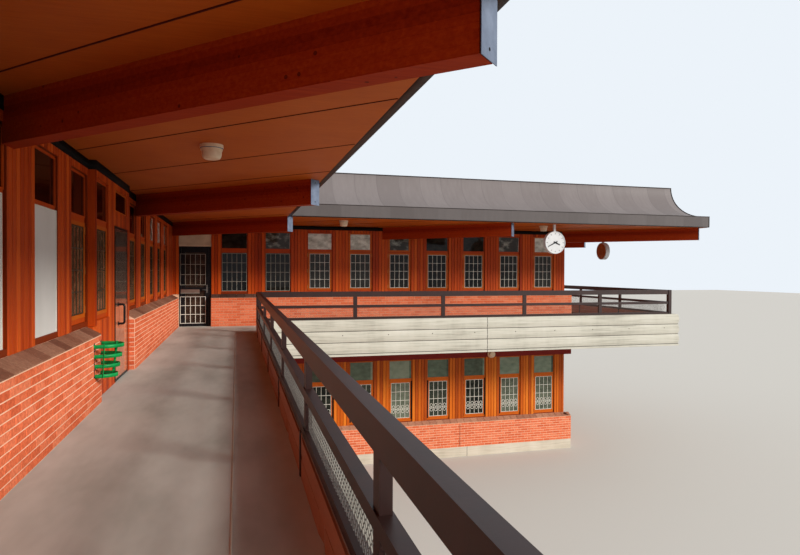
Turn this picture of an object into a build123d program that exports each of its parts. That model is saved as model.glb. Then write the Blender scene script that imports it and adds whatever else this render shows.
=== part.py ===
from build123d import *
import os

# School building: the corner of an L-shaped two-storey school block. A gallery with a concrete
# parapet runs along the upper storey on the yard side and turns round the end of wing B, under a
# deep roof overhang that diagonal glued-laminated beams carry.
# Units are mm. Z is up and the ground is Z = 0. X = 0 and Y = 0 are the brick faces of wings A and B
# on the yard side: wing A runs along -Y with its rooms at X < 0, wing B along +X with its rooms at Y > 0.
# At the end everything is moved so that the origin is the middle of the footprint at ground level.

# Plan
module = 1200
bay = 5 * module
wing_depth = 8400
wing_a_length = 3 * bay
wing_b_length = 2 * bay

# Levels
plinth_top = 300
floor_level = 4160
floor_thickness = 300
lower_sill = 1040
upper_sill_rise = 790
upper_sill = floor_level + upper_sill_rise
soffit_level = 7010
ceiling_thickness = 110

# Walls: a brick dado under a timber band that stands back from the brick face
wall_thickness = 300
timber_setback = 170
sill_rise = 95
head_beam_foot = 3050

# Windows in the timber band: a fixed pane over a casement
window_width = 730
upper_window_foot = 60
upper_window_top = 6820
upper_transom = 6265
lower_window_foot = 20
lower_window_top = 3020
lower_transom = 2385
light_rim = 15
casement_stile = 70
casement_foot = 100
frame_depth = 60
frame_setback = 25
transom_height = 110
pane_thickness = 12

# Window rows: the distance of the first axis from a corner. In wing A the windows within near_windows_a
# of the party wall stand a little closer to it.
first_window_a = 1550
first_window_b = 1470
lower_shift_b = 50
near_windows_a = 6000
near_shift_a = 165
outer_window_margin = 1200

# Doors on the gallery. The door of wing A and the light beside it are in a screen of their own.
door_height = 2210
door_frame_width = 60
door_frame_depth = 90
door_leaf_thickness = 50
door_stile = 100
door_lock_rail = 1080
door_clearance = 4
door_b_width = 850
head_panel_gap = 60
head_panel_height = 350
head_panel_thickness = 40
door_bay_a = 7270
door_bay_width = 2 * module
door_bay_setback = 90
screen_lap = 120
door_a_height = 2150
door_a_width = 900
door_a_jamb = 180
head_panel_a_gap = 210
light_a_offset = 530
handle_height = 290
handle_reach = 140
handle_bar = 32

# Gallery, parapet and railing, measured outwards from the brick faces
gallery_width = 2250
parapet_thickness = 240
parapet_foot = 3530
parapet_rise = 300
parapet_top = floor_level + parapet_rise
parapet_bands = 4
band_bulge = 25
rail_inset = 200
rail_line = gallery_width - rail_inset
rail_rise = 1020
rail_top = floor_level + rail_rise
rail_width = 70
top_rail_height = 130
middle_rail_rise = 670
middle_rail_top = floor_level + middle_rail_rise
middle_rail_height = 70
foot_rail_height = 60
post_width = 100
post_depth = 50
post_spacing = 2 * module
first_post_a = 1200
first_post_b = 2440

# Roof
overhang = 2800
outer_overhang = 900
fascia_rise = 20
fascia_height = 290
cove_width = 1620
cove_height = 1050
roof_shell = 90
ridge_width = 260
ridge_depth = 240
deck_drop = 120
deck_thickness = 120
end_panel_thickness = 60

# Diagonal beams
beam_width = 155
beam_depth = 355
beam_spacing_a = 6150
beam_spacing_b = bay
beam_end_setback = 200
beam_end_setback_b = 170
beam_end_setback_yard = 45
cap_thickness = 4
cap_lip = 16
cap_drop = 8
cap_spacer = 12

# Clock, round drum and lamps under the soffit, and the bin in front of the brick of wing A
clock_diameter = 615
clock_depth = 110
clock_drop = 500
clock_x = 9980
clock_from_eave = 350
hanger_width = 60
drum_diameter = 560
drum_depth = 140
drum_drop = 610
drum_from_eave = 1480
drum_y = 250
lamp_radius = 118
lamp_height = 150
lamp_flange = 35
lamp_collar = 25
lamp_places = ((1280, -10840), (4200, -1950), (9950, -1900))
wall_lamp_x = 9190
wall_lamp_z = 3140
bin_width = 420
bin_depth = 300
bin_height = 410
bin_floor_gap = 330
bin_shell = 20

os.makedirs("parts", exist_ok=True)

a_end = -wing_a_length
b_end = wing_b_length
a_back = -wing_depth
b_back = wing_depth
slab_foot = floor_level - floor_thickness
fascia_foot = soffit_level + fascia_rise
fascia_top = fascia_foot + fascia_height
ridge_level = fascia_top + cove_height
deck_top = ridge_level - deck_drop
roof_right = b_end + overhang
mask_reach = max(gallery_width, overhang, cove_width + ridge_width) + wall_thickness
roof_left = a_back - outer_overhang
roof_back = b_back + outer_overhang
parapet_inner = gallery_width - parapet_thickness
door_head = floor_level + door_height
door_a_head = floor_level + door_a_height
panel_a_foot = door_a_head + head_panel_a_gap
panel_b_foot = door_head + head_panel_gap
band_frame_n0 = timber_setback + frame_setback
bay_frame_n0 = door_bay_setback + frame_setback
door_bay_start = wing_a_length - door_bay_a - door_bay_width
door_bay_end = wing_a_length - door_bay_a
screen_start = door_bay_start + screen_lap
door_a_end = door_bay_end - door_a_jamb
door_a_start = door_a_end - door_a_width
light_a_axis = door_bay_start + light_a_offset
clock_y = clock_from_eave - overhang
drum_x = roof_right - drum_from_eave

to_origin = Pos(-(roof_left + roof_right) / 2, -(a_end + roof_back) / 2, 0)


def write(name, solids):
    shape = solids[0] if len(solids) == 1 else Compound(solids)
    export_step(to_origin * shape, f"parts/{name}.step")


def block(x0, x1, y0, y1, z0, z1):
    return Pos(x0, y0, z0) * Box(x1 - x0, y1 - y0, z1 - z0, align=Align.MIN)


def rectangle(n0, n1, z0, z1):
    return Pos(n0, z0) * Rectangle(n1 - n0, z1 - z0, align=Align.MIN)


# A side is one straight face of the building. In its own frame the wall runs along s from 0 to length,
# n is the depth from the brick face into the rooms, negative outwards, and z is the height.
# An end turns by 1 at an outward corner, by -1 at the corner of the yard, and by 0 where it stops plain.
class Side:
    def __init__(self, name, x, y, along, length, start_turn, end_turn):
        self.name = name
        self.place = Plane(origin=(x, y, 0), x_dir=along, z_dir=(0, 0, 1)).location
        self.length = length
        self.start_turn = start_turn
        self.end_turn = end_turn

    # Extrudes a section in n and z along the side. An end that isn't given is mitred at its corner.
    def run(self, section, start=None, end=None):
        s0 = 0 if start is None else start
        s1 = self.length if end is None else end
        turn0 = self.start_turn if start is None else 0
        turn1 = self.end_turn if end is None else 0
        plan = Polygon(
            (s0 - turn0 * mask_reach, -mask_reach),
            (s1 + turn1 * mask_reach, -mask_reach),
            (s1 - turn1 * mask_reach, mask_reach),
            (s0 + turn0 * mask_reach, mask_reach),
            align=None,
        )
        bar = Pos(-mask_reach, 0, 0) * extrude(Plane.YZ * section, self.length + 2 * mask_reach)
        return self.place * (bar & extrude(plan, 2 * ridge_level))

    def box(self, s0, s1, n0, n1, z0, z1):
        return self.place * block(s0, s1, n0, n1, z0, z1)


yard_a = Side("yard_a", 0, a_end, (0, 1, 0), wing_a_length, 0, -1)
yard_b = Side("yard_b", 0, 0, (1, 0, 0), wing_b_length, -1, 1)
end_b = Side("end_b", b_end, 0, (0, 1, 0), wing_depth, 1, 1)
rear_b = Side("rear_b", b_end, b_back, (-1, 0, 0), wing_b_length + wing_depth, 1, 1)
outer_a = Side("outer_a", a_back, b_back, (0, -1, 0), wing_a_length + wing_depth, 1, 0)
sides = (yard_a, yard_b, end_b, rear_b, outer_a)

eave_a = Side("yard_a", overhang, a_end, (0, 1, 0), wing_a_length - overhang, 0, -1)
eave_b = Side("yard_b", overhang, -overhang, (1, 0, 0), wing_b_length, -1, 0)
eave_rear = Side("rear", roof_right, roof_back, (-1, 0, 0), roof_right - roof_left, 0, 1)
eave_outer = Side("outer", roof_left, roof_back, (0, -1, 0), roof_back - a_end, 1, 0)


class Storey:
    def __init__(self, foot, sill, window_foot, window_top, transom, head):
        self.foot = foot
        self.sill = sill
        self.band_foot = sill + sill_rise
        self.window_foot = self.band_foot + window_foot
        self.window_top = window_top
        self.transom = transom
        self.head = head


lower = Storey(
    plinth_top, lower_sill, lower_window_foot, lower_window_top, lower_transom, slab_foot
)
upper = Storey(
    floor_level, upper_sill, upper_window_foot, upper_window_top, upper_transom, soffit_level
)


# Axes of the windows along a side, in s
def window_axes(side, storey):
    if side is yard_a:
        count = int((wing_a_length - first_window_a - module) // module) + 1
        axes = [wing_a_length - first_window_a - i * module for i in range(count)]
        axes = [s - near_shift_a if s < near_windows_a else s for s in axes]
        if storey is lower:
            return axes
        half = window_width / 2
        return [s for s in axes if s + half < screen_start or s - half > door_bay_end]
    if side is yard_b:
        count = int((wing_b_length - first_window_b - module / 2) // module) + 1
        shift = lower_shift_b if storey is lower else 0
        return [first_window_b + shift + i * module for i in range(count)]
    count = int((side.length - 2 * outer_window_margin) // module) + 1
    return [outer_window_margin + i * module for i in range(count)]


# The party wall closes the near end of wing A, so its walls start behind it.
def wall_ends(side):
    start = wall_thickness if side is yard_a else None
    end = side.length - wall_thickness if side is outer_a else None
    return start, end


# Brick dado with a sloping brick sill
def dado(side, storey, start=None, end=None):
    section = Polygon(
        (0, storey.foot),
        (wall_thickness, storey.foot),
        (wall_thickness, storey.band_foot),
        (timber_setback, storey.band_foot),
        (0, storey.sill),
        align=None,
    )
    return side.run(section, start, end)


def upper_dados(side):
    start, end = wall_ends(side)
    if side is yard_a:
        far = dado(side, upper, door_bay_end, wing_a_length + wall_thickness)
        corner_seat = side.box(
            wing_a_length + timber_setback,
            wing_a_length + wall_thickness,
            0,
            timber_setback,
            upper.foot,
            upper.band_foot,
        )
        return [dado(side, upper, start, door_bay_start), far + corner_seat]
    if side is yard_b:
        return [dado(side, upper, door_b_width, None)]
    return [dado(side, upper, start, end)]


# A hole right through the wall
def hole(side, s0, s1, z0, z1):
    return side.box(s0, s1, 0, 2 * wall_thickness, z0, z1)


def window_hole(side, storey, s):
    half = window_width / 2
    return hole(side, s - half, s + half, storey.window_foot, storey.window_top)


# Timber band with the windows cut through it
def timber_band(side, storey):
    section = rectangle(timber_setback, wall_thickness, storey.band_foot, storey.head)
    band = side.run(section, *wall_ends(side))
    holes = [window_hole(side, storey, s) for s in window_axes(side, storey)]
    if storey is upper and side is yard_a:
        holes.append(hole(side, screen_start, door_bay_end, storey.foot, storey.head))
    if storey is upper and side is yard_b:
        holes.append(hole(side, 0, door_b_width, storey.foot, door_head))
        holes.append(hole(side, 0, door_b_width, panel_b_foot, panel_b_foot + head_panel_height))
    return band - holes


# Beam over the windows of the lower storey, in front of the timber band and flush with the brick
def head_beam(side):
    section = rectangle(0, timber_setback, head_beam_foot, slab_foot)
    return side.run(section, *wall_ends(side))


# Timber screen of the door bay in wing A, with the holes for the light, the door and its head panel.
# Above the dado the timber band laps over the start of the bay.
def door_screen():
    body = yard_a.box(
        door_bay_start, door_bay_end, door_bay_setback, wall_thickness, upper.foot, upper.head
    )
    lap = yard_a.box(door_bay_start, screen_start, 0, wall_thickness, upper.band_foot, upper.head)
    return body - lap - [
        window_hole(yard_a, upper, light_a_axis),
        hole(yard_a, door_a_start, door_a_end, upper.foot, door_a_head),
        hole(yard_a, door_a_start, door_a_end, panel_a_foot, upper.window_top),
    ]


def window_frame(side, storey, s, frame_n0):
    half = window_width / 2
    light = half - light_rim
    casement = half - casement_stile
    frame_n1 = frame_n0 + frame_depth
    transom_foot = storey.transom - transom_height / 2
    transom_head = storey.transom + transom_height / 2
    ring = side.box(s - half, s + half, frame_n0, frame_n1, storey.window_foot, storey.window_top)
    low = side.box(
        s - casement, s + casement, 0, wall_thickness, storey.window_foot + casement_foot, transom_foot
    )
    high = side.box(s - light, s + light, 0, wall_thickness, transom_head, storey.window_top - light_rim)
    return ring - low - high


def window_pane(side, storey, s, frame_n0):
    half = window_width / 2
    n0 = frame_n0 + frame_depth
    return side.box(s - half, s + half, n0, n0 + pane_thickness, storey.window_foot, storey.window_top)


# Doors: a frame in the opening, a leaf with two glazed fields, and the panes behind the leaf
def door_frame(side, s0, s1, frame_n0, head):
    outer = side.box(s0, s1, frame_n0, frame_n0 + door_frame_depth, floor_level, head)
    way = side.box(
        s0 + door_frame_width,
        s1 - door_frame_width,
        0,
        wall_thickness,
        floor_level,
        head - door_frame_width,
    )
    return outer - way


def door_leaf(side, s0, s1, frame_n0, frame_head):
    left = s0 + door_frame_width + door_clearance
    right = s1 - door_frame_width - door_clearance
    foot = floor_level
    head = frame_head - door_frame_width
    lock = floor_level + door_lock_rail
    leaf = side.box(left, right, frame_n0, frame_n0 + door_leaf_thickness, foot, head)
    low = side.box(
        left + door_stile, right - door_stile, 0, wall_thickness, foot + door_stile, lock - door_stile
    )
    high = side.box(left + door_stile, right - door_stile, 0, wall_thickness, lock, head - door_stile)
    return leaf - low - high


def door_pane(side, s0, s1, frame_n0, head):
    left = s0 + door_frame_width + door_clearance
    right = s1 - door_frame_width - door_clearance
    n0 = frame_n0 + door_leaf_thickness
    return side.box(left, right, n0, n0 + pane_thickness, floor_level, head - door_frame_width)


# D-shaped pull on the door of wing A
def pull_handle():
    s = door_a_start + door_frame_width + door_stile - handle_bar
    lock = floor_level + door_lock_rail
    grip = yard_a.box(
        s, s + handle_bar, bay_frame_n0 - handle_reach, bay_frame_n0, lock - handle_height, lock
    )
    space = yard_a.box(
        s,
        s + handle_bar,
        bay_frame_n0 - handle_reach + handle_bar,
        bay_frame_n0,
        lock - handle_height + handle_bar,
        lock - handle_bar,
    )
    return grip - space


# Precast parapet: its outer face swells in horizontal bands
def parapet_section():
    step = (parapet_top - parapet_foot) / parapet_bands
    face = -gallery_width + band_bulge
    edges = []
    for i in range(parapet_bands):
        z0 = parapet_foot + i * step
        start = (face, z0)
        end = (face, z0 + step)
        edges.append(ThreePointArc(start, (face - band_bulge, z0 + step / 2), end))
    edges.append(Line((face, parapet_top), (-parapet_inner, parapet_top)))
    edges.append(Line((-parapet_inner, parapet_top), (-parapet_inner, parapet_foot)))
    edges.append(Line((-parapet_inner, parapet_foot), (face, parapet_foot)))
    return make_face(edges)


# Railing of one side: top, middle and foot rail on posts that stand on the parapet. Where the railing
# turns a corner, each side has its mitred half of the corner post.
def railing(side, post_axes, end=None):
    n0 = -rail_line - rail_width / 2
    n1 = -rail_line + rail_width / 2
    rails = [
        side.run(rectangle(n0, n1, rail_top - top_rail_height, rail_top), None, end),
        side.run(rectangle(n0, n1, middle_rail_top - middle_rail_height, middle_rail_top), None, end),
        side.run(rectangle(n0, n1, parapet_top, parapet_top + foot_rail_height), None, end),
    ]
    half = post_width / 2
    p0 = -rail_line - post_depth / 2
    p1 = -rail_line + post_depth / 2
    posts = [side.box(s - half, s + half, p0, p1, parapet_top, rail_top) for s in post_axes]
    mitred = side.run(rectangle(-rail_line - half, -rail_line + half, parapet_top, rail_top), None, end)
    corners = []
    if side.start_turn:
        corners.append(-side.start_turn * rail_line)
    if side.end_turn and end is None:
        corners.append(side.length + side.end_turn * rail_line)
    for s in corners:
        corner_post = side.box(s - half, s + half, -rail_line - half, -rail_line + half, parapet_top, rail_top)
        posts.append(corner_post & mitred)
    return rails[0] + rails[1:] + posts


def post_row(first, last):
    count = int((last - first) // post_spacing) + 1
    return [first + i * post_spacing for i in range(count)]


# Swept roof edge: a flat fascia, then a hollow curve up to the ridge
def cove_section():
    body = rectangle(0, cove_width + ridge_width, fascia_foot, ridge_level)
    cavity = rectangle(roof_shell, cove_width + ridge_width, fascia_foot, ridge_level - ridge_depth)
    sky = Pos(0, ridge_level) * Ellipse(cove_width, cove_height)
    lining = Pos(0, ridge_level) * Ellipse(cove_width + roof_shell, cove_height + roof_shell)
    return body - sky - (cavity - lining)


# Panel that closes the roof's cavity at a cut end, between two eaves
def roof_end(side, width, s0, s1):
    cavity = rectangle(
        roof_shell, width - roof_shell, soffit_level + ceiling_thickness, ridge_level - ridge_depth
    )
    for n in (0, width):
        cavity -= Pos(n, ridge_level) * Ellipse(cove_width + roof_shell, cove_height + roof_shell)
    return side.place * (Pos(s0, 0, 0) * extrude(Plane.YZ * cavity, s1 - s0))


# A beam lies at 45 degrees: its axis is the line x + y = reach. It starts at the timber bands and
# stops short of the eave.
beam_foot = soffit_level - beam_depth


def beam_start(reach):
    if reach > 0:
        return min(reach - timber_setback, b_end - timber_setback)
    return -timber_setback


def beam_tip(reach):
    if reach < 0:
        return overhang - beam_end_setback
    if reach == 0:
        return overhang - beam_end_setback_yard
    return min(reach + overhang - beam_end_setback_b, roof_right - beam_end_setback)


def diagonal(reach, x0, x1, width, z0, z1):
    length = (x1 - x0) * 2**0.5
    axis = Plane(origin=(x0, reach - x0, z0), x_dir=(1, -1, 0), z_dir=(0, 0, 1))
    return axis.location * Box(length, width, z1 - z0, align=(Align.MIN, Align.CENTER, Align.MIN))


# The bodies of the walls, which the beams butt against
def wall_bodies():
    rooms_a = block(a_back, -timber_setback, a_end, b_back, 0, ridge_level)
    rooms_b = block(a_back, b_end - timber_setback, timber_setback, b_back, 0, ridge_level)
    return [rooms_a, rooms_b]


def beam(reach):
    x0 = beam_start(reach) - beam_width
    bar = diagonal(reach, x0, beam_tip(reach), beam_width, beam_foot, soffit_level)
    return bar - wall_bodies()


# End plate of a beam, a little larger than its end and held off it by a spacer
def beam_cap(reach):
    tip = beam_tip(reach)
    face = tip + cap_spacer / 2**0.5
    front = face + cap_thickness / 2**0.5
    plate_width = beam_width + 2 * cap_lip
    plate = diagonal(reach, face, front, plate_width, beam_foot - cap_drop, soffit_level)
    spacer_width = beam_width - 2 * cap_lip
    spacer = diagonal(reach, tip, face, spacer_width, beam_foot + cap_lip, soffit_level)
    return plate + spacer


# A round case on a hanger below the soffit. Its two faces look along the given turn about Z.
def round_case(x, y, drop, diameter, depth, turn):
    case = Rot(90, 0, 0) * Cylinder(diameter / 2, depth)
    hanger = Box(hanger_width, hanger_width, drop, align=(Align.CENTER, Align.CENTER, Align.MIN))
    return Pos(x, y, soffit_level - drop) * Rot(0, 0, turn) * (case + hanger)


# Lamp turned round its axis: a flange, a stepped collar and a glass bowl with a rounded foot. It hangs
# down from the origin.
def lamp():
    collar_radius = 0.93 * lamp_radius
    bowl_radius = 0.86 * lamp_radius
    foot_radius = 0.45 * lamp_radius
    collar_foot = -lamp_flange - lamp_collar
    edges = [
        Line((0, 0), (lamp_radius, 0)),
        Line((lamp_radius, 0), (lamp_radius, -lamp_flange)),
        Line((lamp_radius, -lamp_flange), (collar_radius, -lamp_flange)),
        Line((collar_radius, -lamp_flange), (collar_radius, collar_foot)),
        Line((collar_radius, collar_foot), (bowl_radius, collar_foot)),
        Spline(
            (bowl_radius, collar_foot),
            (foot_radius, -lamp_height),
            tangents=((0, -1), (-1, 0)),
        ),
        Line((foot_radius, -lamp_height), (0, -lamp_height)),
        Line((0, -lamp_height), (0, 0)),
    ]
    return revolve(Plane.XZ * make_face(edges), Axis.Z)


# Half-round bin, open at the top, fixed to the brick of wing A close to the door bay
def litter_bin():
    s = door_bay_start - bin_width / 2
    foot = floor_level + bin_floor_gap
    front = Pos(s, -bin_depth) * Rectangle(bin_width, bin_depth, align=(Align.CENTER, Align.MIN))
    room = Pos(s, -bin_depth) * Rectangle(
        bin_width, bin_depth - bin_shell, align=(Align.CENTER, Align.MIN)
    )
    outline = front & (Pos(s, 0) * Ellipse(bin_width / 2, bin_depth))
    hollow = room & (Pos(s, 0) * Ellipse(bin_width / 2 - bin_shell, bin_depth - bin_shell))
    body = extrude(Pos(0, 0, foot) * outline, bin_height)
    return yard_a.place * (body - extrude(Pos(0, 0, foot + bin_shell) * hollow, bin_height))


# Floors
write("ground_floor_a", [block(a_back, 0, a_end, 0, 0, plinth_top)])
write("ground_floor_b", [block(a_back, b_end, 0, b_back, 0, plinth_top)])
write("upper_floor_a", [block(a_back, 0, a_end + wall_thickness, 0, slab_foot, floor_level)])
write("upper_floor_b", [block(a_back, b_end, 0, b_back, slab_foot, floor_level)])
write("gallery_floor_a", [block(0, parapet_inner, a_end, -parapet_inner, slab_foot, floor_level)])
write("gallery_floor_b", [block(0, b_end + parapet_inner, -parapet_inner, 0, slab_foot, floor_level)])
write("gallery_floor_side", [block(b_end, b_end + parapet_inner, 0, b_back, slab_foot, floor_level)])

# Walls
for side in sides:
    write(f"brick_{side.name}", [dado(side, lower, *wall_ends(side))] + upper_dados(side))
    bands = [timber_band(side, lower), timber_band(side, upper)]
    write(f"timber_{side.name}", bands)
    write(f"head_beam_{side.name}", [head_beam(side)])
write("door_screen", [door_screen()])
write("party_wall", [block(a_back, 0, a_end, a_end + wall_thickness, plinth_top, soffit_level)])

# Windows and doors
for name, storey in (("lower", lower), ("upper", upper)):
    places = [(side, storey, s, band_frame_n0) for side in sides for s in window_axes(side, storey)]
    if storey is upper:
        places.append((yard_a, upper, light_a_axis, bay_frame_n0))
    write(f"{name}_window_frames", [window_frame(*place) for place in places])
    write(f"{name}_window_panes", [window_pane(*place) for place in places])
doors = (
    (yard_a, door_a_start, door_a_end, bay_frame_n0, door_a_head),
    (yard_b, 0, door_b_width, band_frame_n0, door_head),
)
write("door_frames", [door_frame(*door) for door in doors])
write("door_leaves", [door_leaf(*door) for door in doors])
write("door_panes", [door_pane(*door) for door in doors])
write("door_handle", [pull_handle()])
panel_b_depth = (band_frame_n0, band_frame_n0 + head_panel_thickness)
panel_a_depth = (bay_frame_n0, bay_frame_n0 + head_panel_thickness)
write(
    "door_head_panels",
    [
        yard_b.box(0, door_b_width, *panel_b_depth, panel_b_foot, panel_b_foot + head_panel_height),
        yard_a.box(door_a_start, door_a_end, *panel_a_depth, panel_a_foot, upper.window_top),
    ],
)

# Parapets and railings: the gallery ends at the party wall and at the back of wing B
write("parapet_yard_a", [yard_a.run(parapet_section())])
write("parapet_yard_b", [yard_b.run(parapet_section())])
write("parapet_end_b", [end_b.run(parapet_section(), None, wing_depth)])
corner_a = wing_a_length - rail_line
posts_a = [corner_a - s for s in post_row(first_post_a, corner_a)]
posts_b = post_row(rail_line + first_post_b, wing_b_length + rail_line - post_width)
posts_end = post_row(post_spacing - rail_line, wing_depth)
write("railing_yard_a", [railing(yard_a, posts_a)])
write("railing_yard_b", [railing(yard_b, posts_b)])
write("railing_end_b", [railing(end_b, posts_end, wing_depth)])

# Roof
inner_left = roof_left + roof_shell
ceiling_top = soffit_level + ceiling_thickness
write(
    "ceiling_a",
    [block(inner_left, overhang - roof_shell, a_end, roof_shell - overhang, soffit_level, ceiling_top)],
)
write(
    "ceiling_b",
    [
        block(
            inner_left, roof_right, roof_shell - overhang, roof_back - roof_shell, soffit_level, ceiling_top
        )
    ],
)
for eave in (eave_a, eave_b, eave_rear, eave_outer):
    write(f"cove_{eave.name}", [eave.run(cove_section())])
rim = cove_width + ridge_width
deck_foot = deck_top - deck_thickness
write("deck_a", [block(roof_left + rim, overhang - rim, a_end, rim - overhang, deck_foot, deck_top)])
write("deck_b", [block(roof_left + rim, roof_right, rim - overhang, roof_back - rim, deck_foot, deck_top)])
cross_a = Side("cross_a", overhang, a_end, (0, 1, 0), wing_a_length, 0, 0)
cross_b = Side("cross_b", 0, -overhang, (1, 0, 0), roof_right, 0, 0)
write(
    "roof_ends",
    [
        roof_end(cross_a, overhang - roof_left, 0, end_panel_thickness),
        roof_end(cross_b, roof_back + overhang, roof_right - end_panel_thickness, roof_right),
    ],
)

# Beams
reaches = [i * beam_spacing_a for i in (-2, -1)] + [i * beam_spacing_b for i in range(4)]
write("beams", [beam(reach) for reach in reaches])
write("beam_caps", [beam_cap(reach) for reach in reaches])

# Fittings
write("clock", [round_case(clock_x, clock_y, clock_drop, clock_diameter, clock_depth, 0)])
write("hanging_drum", [round_case(drum_x, drum_y, drum_drop, drum_diameter, drum_depth, 90)])
write("soffit_lamps", [Pos(x, y, soffit_level) * lamp() for x, y in lamp_places])
write("wall_lamp", [Pos(wall_lamp_x, 0, wall_lamp_z) * Rot(-90, 0, 0) * lamp()])
write("litter_bin", [litter_bin()])
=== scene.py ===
import bpy
import math
from mathutils import Matrix, Vector


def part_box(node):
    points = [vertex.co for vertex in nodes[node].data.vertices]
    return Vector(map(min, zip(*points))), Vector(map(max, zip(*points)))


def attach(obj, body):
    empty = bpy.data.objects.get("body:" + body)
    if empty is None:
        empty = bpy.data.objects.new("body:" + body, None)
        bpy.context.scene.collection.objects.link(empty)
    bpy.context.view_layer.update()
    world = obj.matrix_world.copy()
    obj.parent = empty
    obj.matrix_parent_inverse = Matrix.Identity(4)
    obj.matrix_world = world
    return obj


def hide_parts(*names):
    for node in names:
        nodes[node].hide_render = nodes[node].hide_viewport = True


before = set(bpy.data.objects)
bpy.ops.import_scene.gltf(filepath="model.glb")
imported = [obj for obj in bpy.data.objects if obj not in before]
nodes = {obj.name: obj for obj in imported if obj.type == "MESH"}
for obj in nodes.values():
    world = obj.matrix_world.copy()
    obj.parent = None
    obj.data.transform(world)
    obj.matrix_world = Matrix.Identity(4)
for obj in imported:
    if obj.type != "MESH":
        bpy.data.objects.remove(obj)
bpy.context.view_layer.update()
print("stage 1: the packed model is loaded,", len(nodes), "nodes")

# Sizes in metres that the pieces share. The corner is where the brick faces of both wings meet.
corner = Vector((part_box("brick_yard_a")[1].x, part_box("brick_yard_b")[0].y, 0))
identity = Matrix.Identity(4)
house = {
    "lengthA": 18.0, "lengthB": 12.0, "wingDepth": 8.4, "partyWall": 0.3, "floorLevel": 4.16, "soffit": 7.01,
    "bandBack": 0.17, "frameBack": 0.025, "bayBack": 0.09, "bayStart": 8.33, "bayEnd": 10.73,
    "screenStart": 8.45, "doorAStart": 9.65, "doorAEnd": 10.55, "doorBWidth": 0.85, "lightAxis": 8.86,
    "module": 1.2, "firstA": 1.55, "firstB": 1.47, "firstBack": 1.2, "countA": 13, "countB": 9,
    "nearWindows": 6.0, "nearShift": 0.165, "windowWidth": 0.73, "casementFoot": 0.1, "casementWidth": 0.59,
    "parapetOuter": 2.25, "parapetInner": 2.01, "parapetFoot": 3.53, "parapetTop": 4.46, "railLine": 2.05,
}
storeys = {
    "lower": {
        "foot": 0.3, "sill": 1.04, "bandFoot": 1.135, "windowFoot": 1.155, "windowTop": 3.02,
        "transomFoot": 2.33, "transomTop": 2.44, "head": 3.86, "courses": 10, "shiftB": 0.05,
    },
    "upper": {
        "foot": 4.16, "sill": 4.95, "bandFoot": 5.045, "windowFoot": 5.105, "windowTop": 6.82,
        "transomFoot": 6.21, "transomTop": 6.32, "head": 7.01, "courses": 11, "shiftB": 0.0,
    },
}
lengthA, lengthB, wingDepth = house["lengthA"], house["lengthB"], house["wingDepth"]
# A side runs along s from its start; n is the depth into the rooms and z the height. The turns are
# 1 at an outward corner, -1 at the corner of the yard and 0 at a plain end.
sides = {
    "yardA": {"start": (0, -lengthA), "angle": 90, "length": lengthA, "turns": (0, -1)},
    "yardB": {"start": (0, 0), "angle": 0, "length": lengthB, "turns": (-1, 1)},
    "endB": {"start": (lengthB, 0), "angle": 90, "length": wingDepth, "turns": (1, 1)},
    "rearB": {"start": (lengthB, wingDepth), "angle": 180, "length": lengthB + wingDepth, "turns": (1, 1)},
    "outerA": {
        "start": (-wingDepth, wingDepth), "angle": 270, "length": lengthA + wingDepth, "turns": (1, 0),
    },
}


def at(x, y, z):
    return corner + Vector((x, y, z))


def turnBy(degrees, axis="Z"):
    return Matrix.Rotation(math.radians(degrees), 4, axis)


def standing(sideName, s=0.0, n=0.0, z=0.0):
    side = sides[sideName]
    return Matrix.Translation(at(*side["start"], 0)) @ turnBy(side["angle"]) @ Matrix.Translation((s, n, z))


# Where a strip that is set back by an inset starts and ends along a side
def sideEnds(sideName, inset):
    side = sides[sideName]
    low = house["partyWall"] if sideName == "yardA" else side["turns"][0] * inset
    back = house["partyWall"] if sideName == "outerA" else side["turns"][1] * inset
    return low, side["length"] - back


def windowAxes(sideName, storeyName):
    half = house["windowWidth"] / 2
    length = sides[sideName]["length"]
    if sideName == "yardA":
        axes = [length - house["firstA"] - i * house["module"] for i in range(house["countA"])]
        axes = [s - house["nearShift"] if s < house["nearWindows"] else s for s in axes]
        if storeyName == "upper":
            axes = [s for s in axes if s + half < house["screenStart"] or s - half > house["bayEnd"]]
        return sorted(axes)
    if sideName == "yardB":
        first = house["firstB"] + storeys[storeyName]["shiftB"]
        return [first + i * house["module"] for i in range(house["countB"])]
    count = int((length - 2 * house["firstBack"]) // house["module"]) + 1
    return [house["firstBack"] + i * house["module"] for i in range(count)]


# A value inside a node tree: arithmetic on it adds the nodes that work it out
class nodeValue:
    def __init__(self, tree, socket):
        self.tree = tree
        self.socket = socket

    def calc(self, operation, *others):
        return put(self.tree, "ShaderNodeMath", enumerate((self, *others)), operation=operation)

    def __add__(self, other):
        return self.calc("ADD", other)

    def __sub__(self, other):
        return self.calc("SUBTRACT", other)

    def __mul__(self, other):
        return self.calc("MULTIPLY", other)

    def __truediv__(self, other):
        return self.calc("DIVIDE", other)


# Adds a node, linked to node values and set to plain ones, and returns one of its outputs
def put(tree, kind, values=(), out=0, **settings):
    node = tree.nodes.new(kind)
    for key, value in settings.items():
        setattr(node, key, value)
    for key, value in dict(values).items():
        if isinstance(value, nodeValue):
            tree.links.new(value.socket, node.inputs[key])
        else:
            node.inputs[key].default_value = value
    return nodeValue(tree, node.outputs[out])


def combine(tree, x=0.0, y=0.0, z=0.0):
    return put(tree, "ShaderNodeCombineXYZ", {0: x, 1: y, 2: z})


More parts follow.
